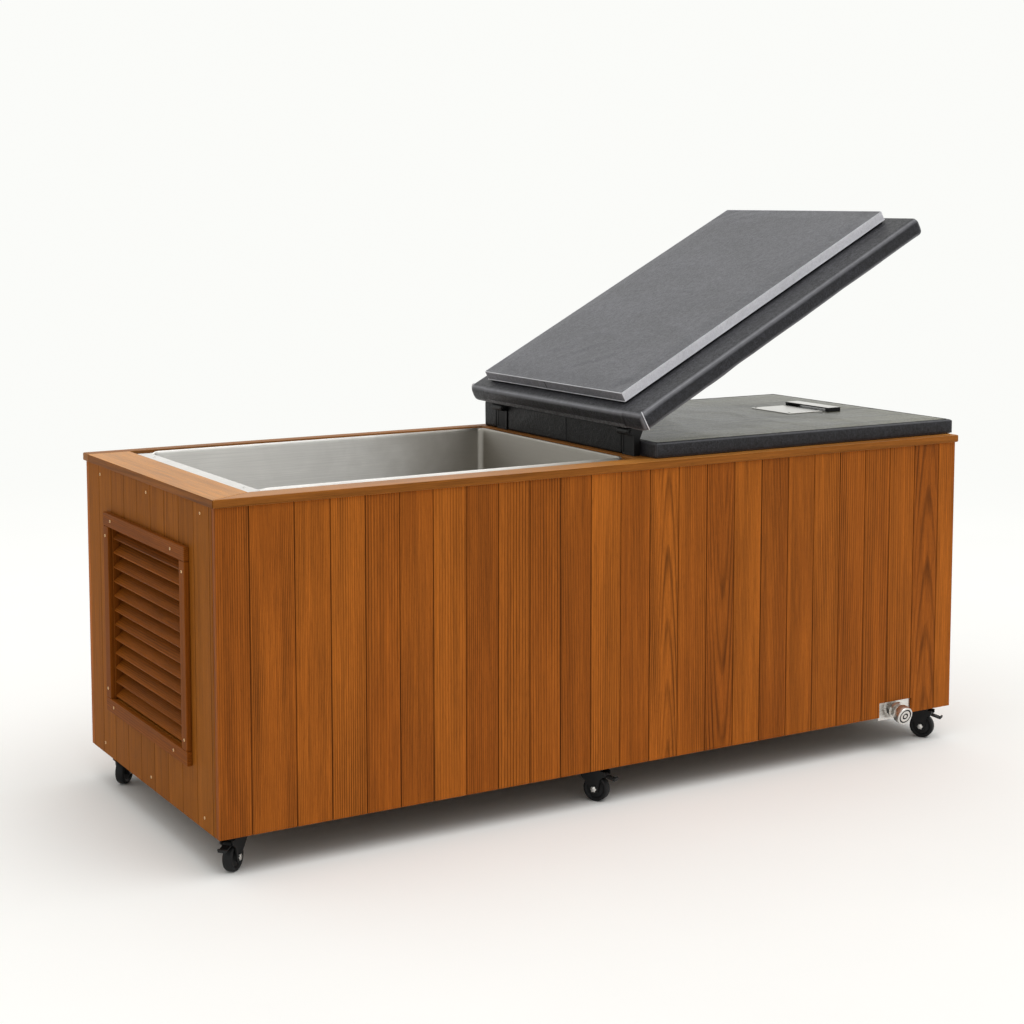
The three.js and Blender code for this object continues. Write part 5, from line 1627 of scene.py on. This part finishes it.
class TUB_OT_drain(bpy.types.Operator):
    """Turns the drain cap and finishes the spout and its plate"""

    bl_idname = "tub.drain"
    bl_label = "Drain"

    def execute(self, context):
        metal = settings()[2]
        steel = finish("satin_steel")
        refined("drain_plate", "drain_backplate", steel, metal.plate_edge)
        refined("drain_spout", "drain_neck", steel, metal.plate_edge, 40)
        joint = JOINTS["drain_turn"]
        place = facing(joint["axis"], joint["pos_m"])
        back, front, radius = metal.cap_back, metal.cap_front, metal.cap_radius
        groove = metal.cap_groove
        # Painted shade: the faces in the cap's two grooves are black rubber, standing in for the shade in the
        # grooves.
        dark_grooves = ((0.78 * radius, 0.63 * radius), (0.36 * radius, 0.20 * radius))
        profile = [
            (9.4 * MM, back), (radius - 4 * MM, back), (radius - 1 * MM, back + 1.5 * MM),
            (radius, back + 4 * MM), (radius, front - 3 * MM), (radius - 0.8 * MM, front - 0.8 * MM),
            (radius - 2 * MM, front),
        ]
        for outer, inner in dark_grooves:
            bevel = 0.5 * MM
            profile += [
                (outer + bevel, front), (outer, front - bevel), (outer, front - groove),
                (inner, front - groove), (inner, front - bevel), (inner - bevel, front),
            ]
        profile.append((0.0, front))
        bm = bmesh.new()
        rings = add_lathe(bm, profile, place, 96)
        centre = place.translation
        axis = (place.to_3x3() @ Vector((0, 0, 1))).normalized()
        for ring in rings[3:5]:
            for v in ring[::3]:
                out = v.co - centre
                out -= axis * out.dot(axis)
                v.co -= out.normalized() * 0.5 * MM
        for face in bm.faces:
            out = face.calc_center_median() - centre
            rise = out.dot(axis)
            away = (out - axis * rise).length
            if rise > back + groove and any(inner < away < outer for outer, inner in dark_grooves):
                face.material_index = 1
        mesh = mesh_from("drain_cap_turned", bm, 40)
        new_piece("drain_cap_turned", mesh, [steel, finish("rubber")], "drain_cap", ["drain_knob"])
        return {"FINISHED"}


class TUB_OT_casters(bpy.types.Operator):
    """Builds the casters: tyres and hubs, forks, plates, brake pedals and axle bolts"""

    bl_idname = "tub.casters"
    bl_label = "Casters"

    def execute(self, context):
        metal = settings()[2]
        black = finish("black_paint")
        edge = metal.plate_edge
        for place in CASTERS:
            self.wheel(place)
            refined(f"caster_fork_{place}", f"fork_{place}", black, edge)
            refined(f"caster_plate_{place}", f"mounting_plate_{place}", black, edge)
            pedal = f"brake_pedal_{place}"
            if pedal in NODES:
                refined(pedal, f"pedal_{place}", finish("moulded_black"), edge)
        return {"FINISHED"}

    def wheel(self, place):
        """A wheel turned about its axle, with a rubber tyre on a moulded hub, and its axle's bolts."""
        metal = settings()[2]
        joint = JOINTS[f"roll_{place}"]
        lo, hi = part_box(f"caster_wheel_{place}")
        radius, half = (hi.z - lo.z) / 2, metal.wheel_half
        axle = facing(joint["axis"], joint["pos_m"])
        tyre = [
            (0.80 * radius, -half), (radius - 3 * MM, -half), (radius - 1 * MM, -half + 1.2 * MM),
            (radius, -half + 4 * MM), (radius, half - 4 * MM), (radius - 1 * MM, half - 1.2 * MM),
            (radius - 3 * MM, half), (0.80 * radius, half),
        ]
        hub = [
            (4.4 * MM, half), (9 * MM, half), (10 * MM, half - 2.5 * MM), (0.66 * radius, half - 3.5 * MM),
            (0.75 * radius, half - 1 * MM), (0.80 * radius, half),
        ]
        bm = bmesh.new()
        add_lathe(bm, tyre, axle, 64, 0)
        add_lathe(bm, hub, axle, 64, 1)
        add_lathe(bm, [(r, -h) for r, h in hub], axle, 64, 1)
        bmesh.ops.remove_doubles(bm, verts=bm.verts, dist=1e-6)
        name = f"tyre_{place}"
        skins = [finish("rubber"), finish("moulded_black")]
        nodes = [f"caster_wheel_{place}"]
        new_piece(name, mesh_from(name, bm, 40), skins, f"wheel_{place}", nodes)
        self.bolts(place, joint)

    def bolts(self, place, joint):
        """The heads of the bolt through a fork and its wheel."""
        metal = settings()[2]
        radius, side, height = metal.bolt_radius, metal.bolt_side, metal.bolt_height
        profile = [(radius, 0.0), (radius, side), (0.8 * radius, height), (0.0, height)]
        bm = bmesh.new()
        for sign in (-1, 1):
            out = Vector(joint["axis"]) * sign
            add_lathe(bm, profile, facing(out, Vector(joint["pos_m"]) + out * (metal.bolt_reach - side)), 6)
        name = f"axle_bolts_{place}"
        new_piece(name, mesh_from(name, bm), [finish("satin_steel")], f"caster_{place}")


# Plant in the bay


class TUB_OT_plant(bpy.types.Operator):
    """Finishes the deck, the jacket, the pump, the filter, the chiller, the power inlet and the hoses"""

    bl_idname = "tub.plant"
    bl_label = "Plant"

    def execute(self, context):
        rounded = {
            "base_deck": ("deck_board", "birch_ply", "plywood", 1.0),
            "basin_jacket": ("foam_jacket", "jacket_foam", "foam", 2.0),
            "circulation_pump": ("pump_body", "moulded_black", "black_plastic", 1.6),
            "filter_housing": ("filter_body", "filter_shell", "filter_plastic", 1.6),
            "chiller_case": ("chiller_shell", "case_paint", "casing", 0.5),
            "chiller_fan": ("fan_rotor", "moulded_black", "black_plastic", 0.5),
            "power_inlet": ("inlet_socket", "moulded_black", "black_plastic", 0.7),
        }
        for node, (name, material, slot, edge) in rounded.items():
            refined(node, name, finish(material), edge * MM)
        self.contacts()
        for node in ("suction_hose", "pump_hose", "feed_hose", "return_hose", "drain_hose"):
            self.hose(node)
        return {"FINISHED"}

    def contacts(self):
        """The dark floor of the power inlet's well, with three flat pins on it."""
        lo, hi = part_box("power_inlet")
        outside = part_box("back_cladding")[1].y
        front = [v.co for v in NODES["power_inlet"].data.vertices if v.co.y > hi.y - 0.1 * MM]
        mouth = [p for p in front if lo.x + MM < p.x < hi.x - MM]
        low = Vector((min(p.x for p in mouth), outside - MM, min(p.z for p in mouth)))
        high = Vector((max(p.x for p in mouth), outside + 0.3 * MM, max(p.z for p in mouth)))
        middle = (low + high) / 2
        pin = Vector((1.0 * MM, 0.0, 2.4 * MM))
        bm = bmesh.new()
        add_box(bm, low, high)
        for across, rise in ((-7.0 * MM, -1.5 * MM), (0.0, 2.5 * MM), (7.0 * MM, -1.5 * MM)):
            root = Vector((middle.x + across, high.y - 0.1 * MM, middle.z + rise))
            tip = Vector((root.x, hi.y - 0.8 * MM, root.z))
            add_box(bm, root - pin, tip + pin)
        for face in bm.faces:
            face.material_index = 0 if face.calc_center_median().y < high.y + 0.01 * MM else 1
        bevel_sharp(bm, 0.3 * MM)
        skins = [finish("moulded_black"), finish("satin_steel")]
        new_piece("inlet_contacts", mesh_from("inlet_contacts", bm), skins, "cabinet")

    def hose(self, node):
        """A round hose over its node's route, with firm ends."""
        source = NODES[node]
        bm = bmesh.new()
        bm.from_mesh(source.data)
        bmesh.ops.remove_doubles(bm, verts=bm.verts, dist=1e-6)
        turns = {edge: edge.calc_face_angle(0.0) for edge in bm.edges}
        ends = [f for f in bm.faces if all(turns[e] < 0.01 or turns[e] > 1.0 for e in f.edges)]
        flat = list(dict.fromkeys(e for f in ends for e in f.edges if turns[e] < 0.01))
        bmesh.ops.dissolve_limit(bm, angle_limit=math.radians(0.5), verts=bm.verts, edges=flat)
        triangles = [f for f in bm.faces if len(f.verts) == 3]
        bmesh.ops.join_triangles(
            bm, faces=triangles, angle_face_threshold=math.radians(50), angle_shape_threshold=math.radians(60)
        )
        bevel_sharp(bm, 1.5 * MM, 1, 50)
        mesh = mesh_from(node + "_tube", bm, 60)
        mesh.materials.clear()
        piece = new_piece(node + "_tube", mesh, [finish("rubber")], source["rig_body"], [node])
        rounder = piece.modifiers.new("Round", "SUBSURF")
        rounder.levels = rounder.render_levels = 2


# Stage


class TUB_OT_stage(bpy.types.Operator):
    """Sets the camera, the pale floor, the world and a broad soft lamp"""

    bl_idname = "tub.stage"
    bl_label = "Stage"

    def execute(self, context):
        stage = settings()[4]
        scene = context.scene
        scene.view_settings.view_transform = "Standard"
        self.camera(scene, stage)
        self.floor(scene, stage)
        self.world(scene, stage)
        self.lamp(scene, stage)
        return {"FINISHED"}

    def camera(self, scene, stage):
        lens = bpy.data.cameras.new("photo_camera")
        lens.sensor_width = 36.0
        lens.lens = stage.focal * lens.sensor_width / IMAGE_SIDE
        lens.shift_y = (stage.axis_row - IMAGE_SIDE / 2) / IMAGE_SIDE
        lens.clip_end = 200.0
        eye = bpy.data.objects.new("photo_camera", lens)
        eye.location = stage.eye
        ahead = Vector((
            math.sin(stage.heading) * math.cos(stage.dip), math.cos(stage.heading) * math.cos(stage.dip),
            -math.sin(stage.dip),
        ))
        eye.rotation_mode = "QUATERNION"
        eye.rotation_quaternion = ahead.to_track_quat("-Z", "Y")
        scene.collection.objects.link(eye)
        scene.camera = eye

    def floor(self, scene, stage):
        half = stage.floor_size / 2
        mesh = bpy.data.meshes.new("studio_floor")
        corners = [(-half, -half, 0), (half, -half, 0), (half, half, 0), (-half, half, 0)]
        mesh.from_pydata(corners, [], [(0, 1, 2, 3)])
        f = Finish("studio_floor")
        place = f.place()
        faint = f.noise(place, 1.4, 4.0)
        f.set(
            Base_Color=f.shade(stage.floor, f.fit(faint, 0.3, 0.7, 0.99, 1.01)),
            Roughness=0.85, Specular_IOR_Level=0.1,
        )
        away = f.node("VectorMath", {0: place}, operation="LENGTH").outputs["Value"]
        white = f.node("Emission", {"Color": WHITE, "Strength": 1.0}).outputs[0]
        far = f.fit(away, stage.fade_start, stage.fade_end, smoothed=True)
        faded = f.node("MixShader", {0: far, 1: f.shader.outputs[0], 2: white}).outputs[0]
        f.feed(f.tree.nodes["Material Output"].inputs["Surface"], faded)
        mesh.materials.append(f.material)
        floor = bpy.data.objects.new("studio_floor", mesh)
        scene.collection.objects.link(floor)

    def world(self, scene, stage):
        """A white room: plain light on the object, full white where the camera or a reflection sees it."""
        world = bpy.data.worlds.new("studio")
        world.use_nodes = True
        scene.world = world
        tree = world.node_tree
        sky = tree.nodes["Background"]
        sky.inputs["Color"].default_value = (*WHITE, 1.0)
        rays = tree.nodes.new("ShaderNodeLightPath").outputs
        seen = rays["Is Camera Ray"]
        for name in ("Is Glossy Ray", "Is Transmission Ray"):
            either = tree.nodes.new("ShaderNodeMath")
            either.operation = "MAXIMUM"
            tree.links.new(seen, either.inputs[0])
            tree.links.new(rays[name], either.inputs[1])
            seen = either.outputs[0]
        towards = tree.nodes.new("ShaderNodeTexCoord").outputs["Generated"]
        height = tree.nodes.new("ShaderNodeSeparateXYZ")
        tree.links.new(towards, height.inputs[0])
        dome = tree.nodes.new("ShaderNodeMapRange")
        dome.inputs["To Min"].default_value = stage.horizon
        dome.inputs["To Max"].default_value = stage.zenith
        tree.links.new(height.outputs["Z"], dome.inputs["Value"])
        strength = tree.nodes.new("ShaderNodeMapRange")
        strength.inputs["To Max"].default_value = 1.0
        tree.links.new(dome.outputs[0], strength.inputs["To Min"])
        tree.links.new(seen, strength.inputs["Value"])
        tree.links.new(strength.outputs[0], sky.inputs["Strength"])

    def lamp(self, scene, stage):
        data = bpy.data.lights.new("key_lamp", "SUN")
        data.energy = stage.key
        data.angle = stage.key_spread
        lamp = bpy.data.objects.new("key_lamp", data)
        lamp.rotation_mode = "QUATERNION"
        lamp.rotation_quaternion = Vector(stage.key_direction).to_track_quat("-Z", "Y")
        scene.collection.objects.link(lamp)


# Add-on

STEPS = (
    TUB_OT_stage, TUB_OT_cladding, TUB_OT_rim, TUB_OT_louvre, TUB_OT_basin, TUB_OT_lid, TUB_OT_bay_cover,
    TUB_OT_apron, TUB_OT_hinges, TUB_OT_handle, TUB_OT_drain, TUB_OT_casters, TUB_OT_plant,
)
GROUPS = {
    "tub_timber": TUB_PG_timber, "tub_padding": TUB_PG_padding, "tub_metal": TUB_PG_metal,
    "tub_plant": TUB_PG_plant, "tub_stage": TUB_PG_stage,
}


class TUB_PT_panel(bpy.types.Panel):
    """Lists the steps that build the tub, and the sizes and colours that they use"""

    bl_idname = "TUB_PT_panel"
    bl_label = "Plunge Tub"
    bl_space_type = "VIEW_3D"
    bl_region_type = "UI"
    bl_category = "Plunge Tub"

    def draw(self, context):
        for step in STEPS:
            self.layout.operator(step.bl_idname)
        for name, group in GROUPS.items():
            box = self.layout.box()
            box.label(text=group.__doc__)
            for field in group.__annotations__:
                box.prop(getattr(context.scene, name), field)


def register():
    for made in (*GROUPS.values(), *STEPS, TUB_PT_panel):
        bpy.utils.register_class(made)
    for name, group in GROUPS.items():
        setattr(bpy.types.Scene, name, PointerProperty(type=group))


def unregister():
    for name in GROUPS:
        delattr(bpy.types.Scene, name)
    for made in (TUB_PT_panel, *reversed(STEPS), *GROUPS.values()):
        bpy.utils.unregister_class(made)


def main():
    register()
    for step in STEPS:
        group, name = step.bl_idname.split(".")
        getattr(getattr(bpy.ops, group), name)()


if __name__ == "__main__":
    main()
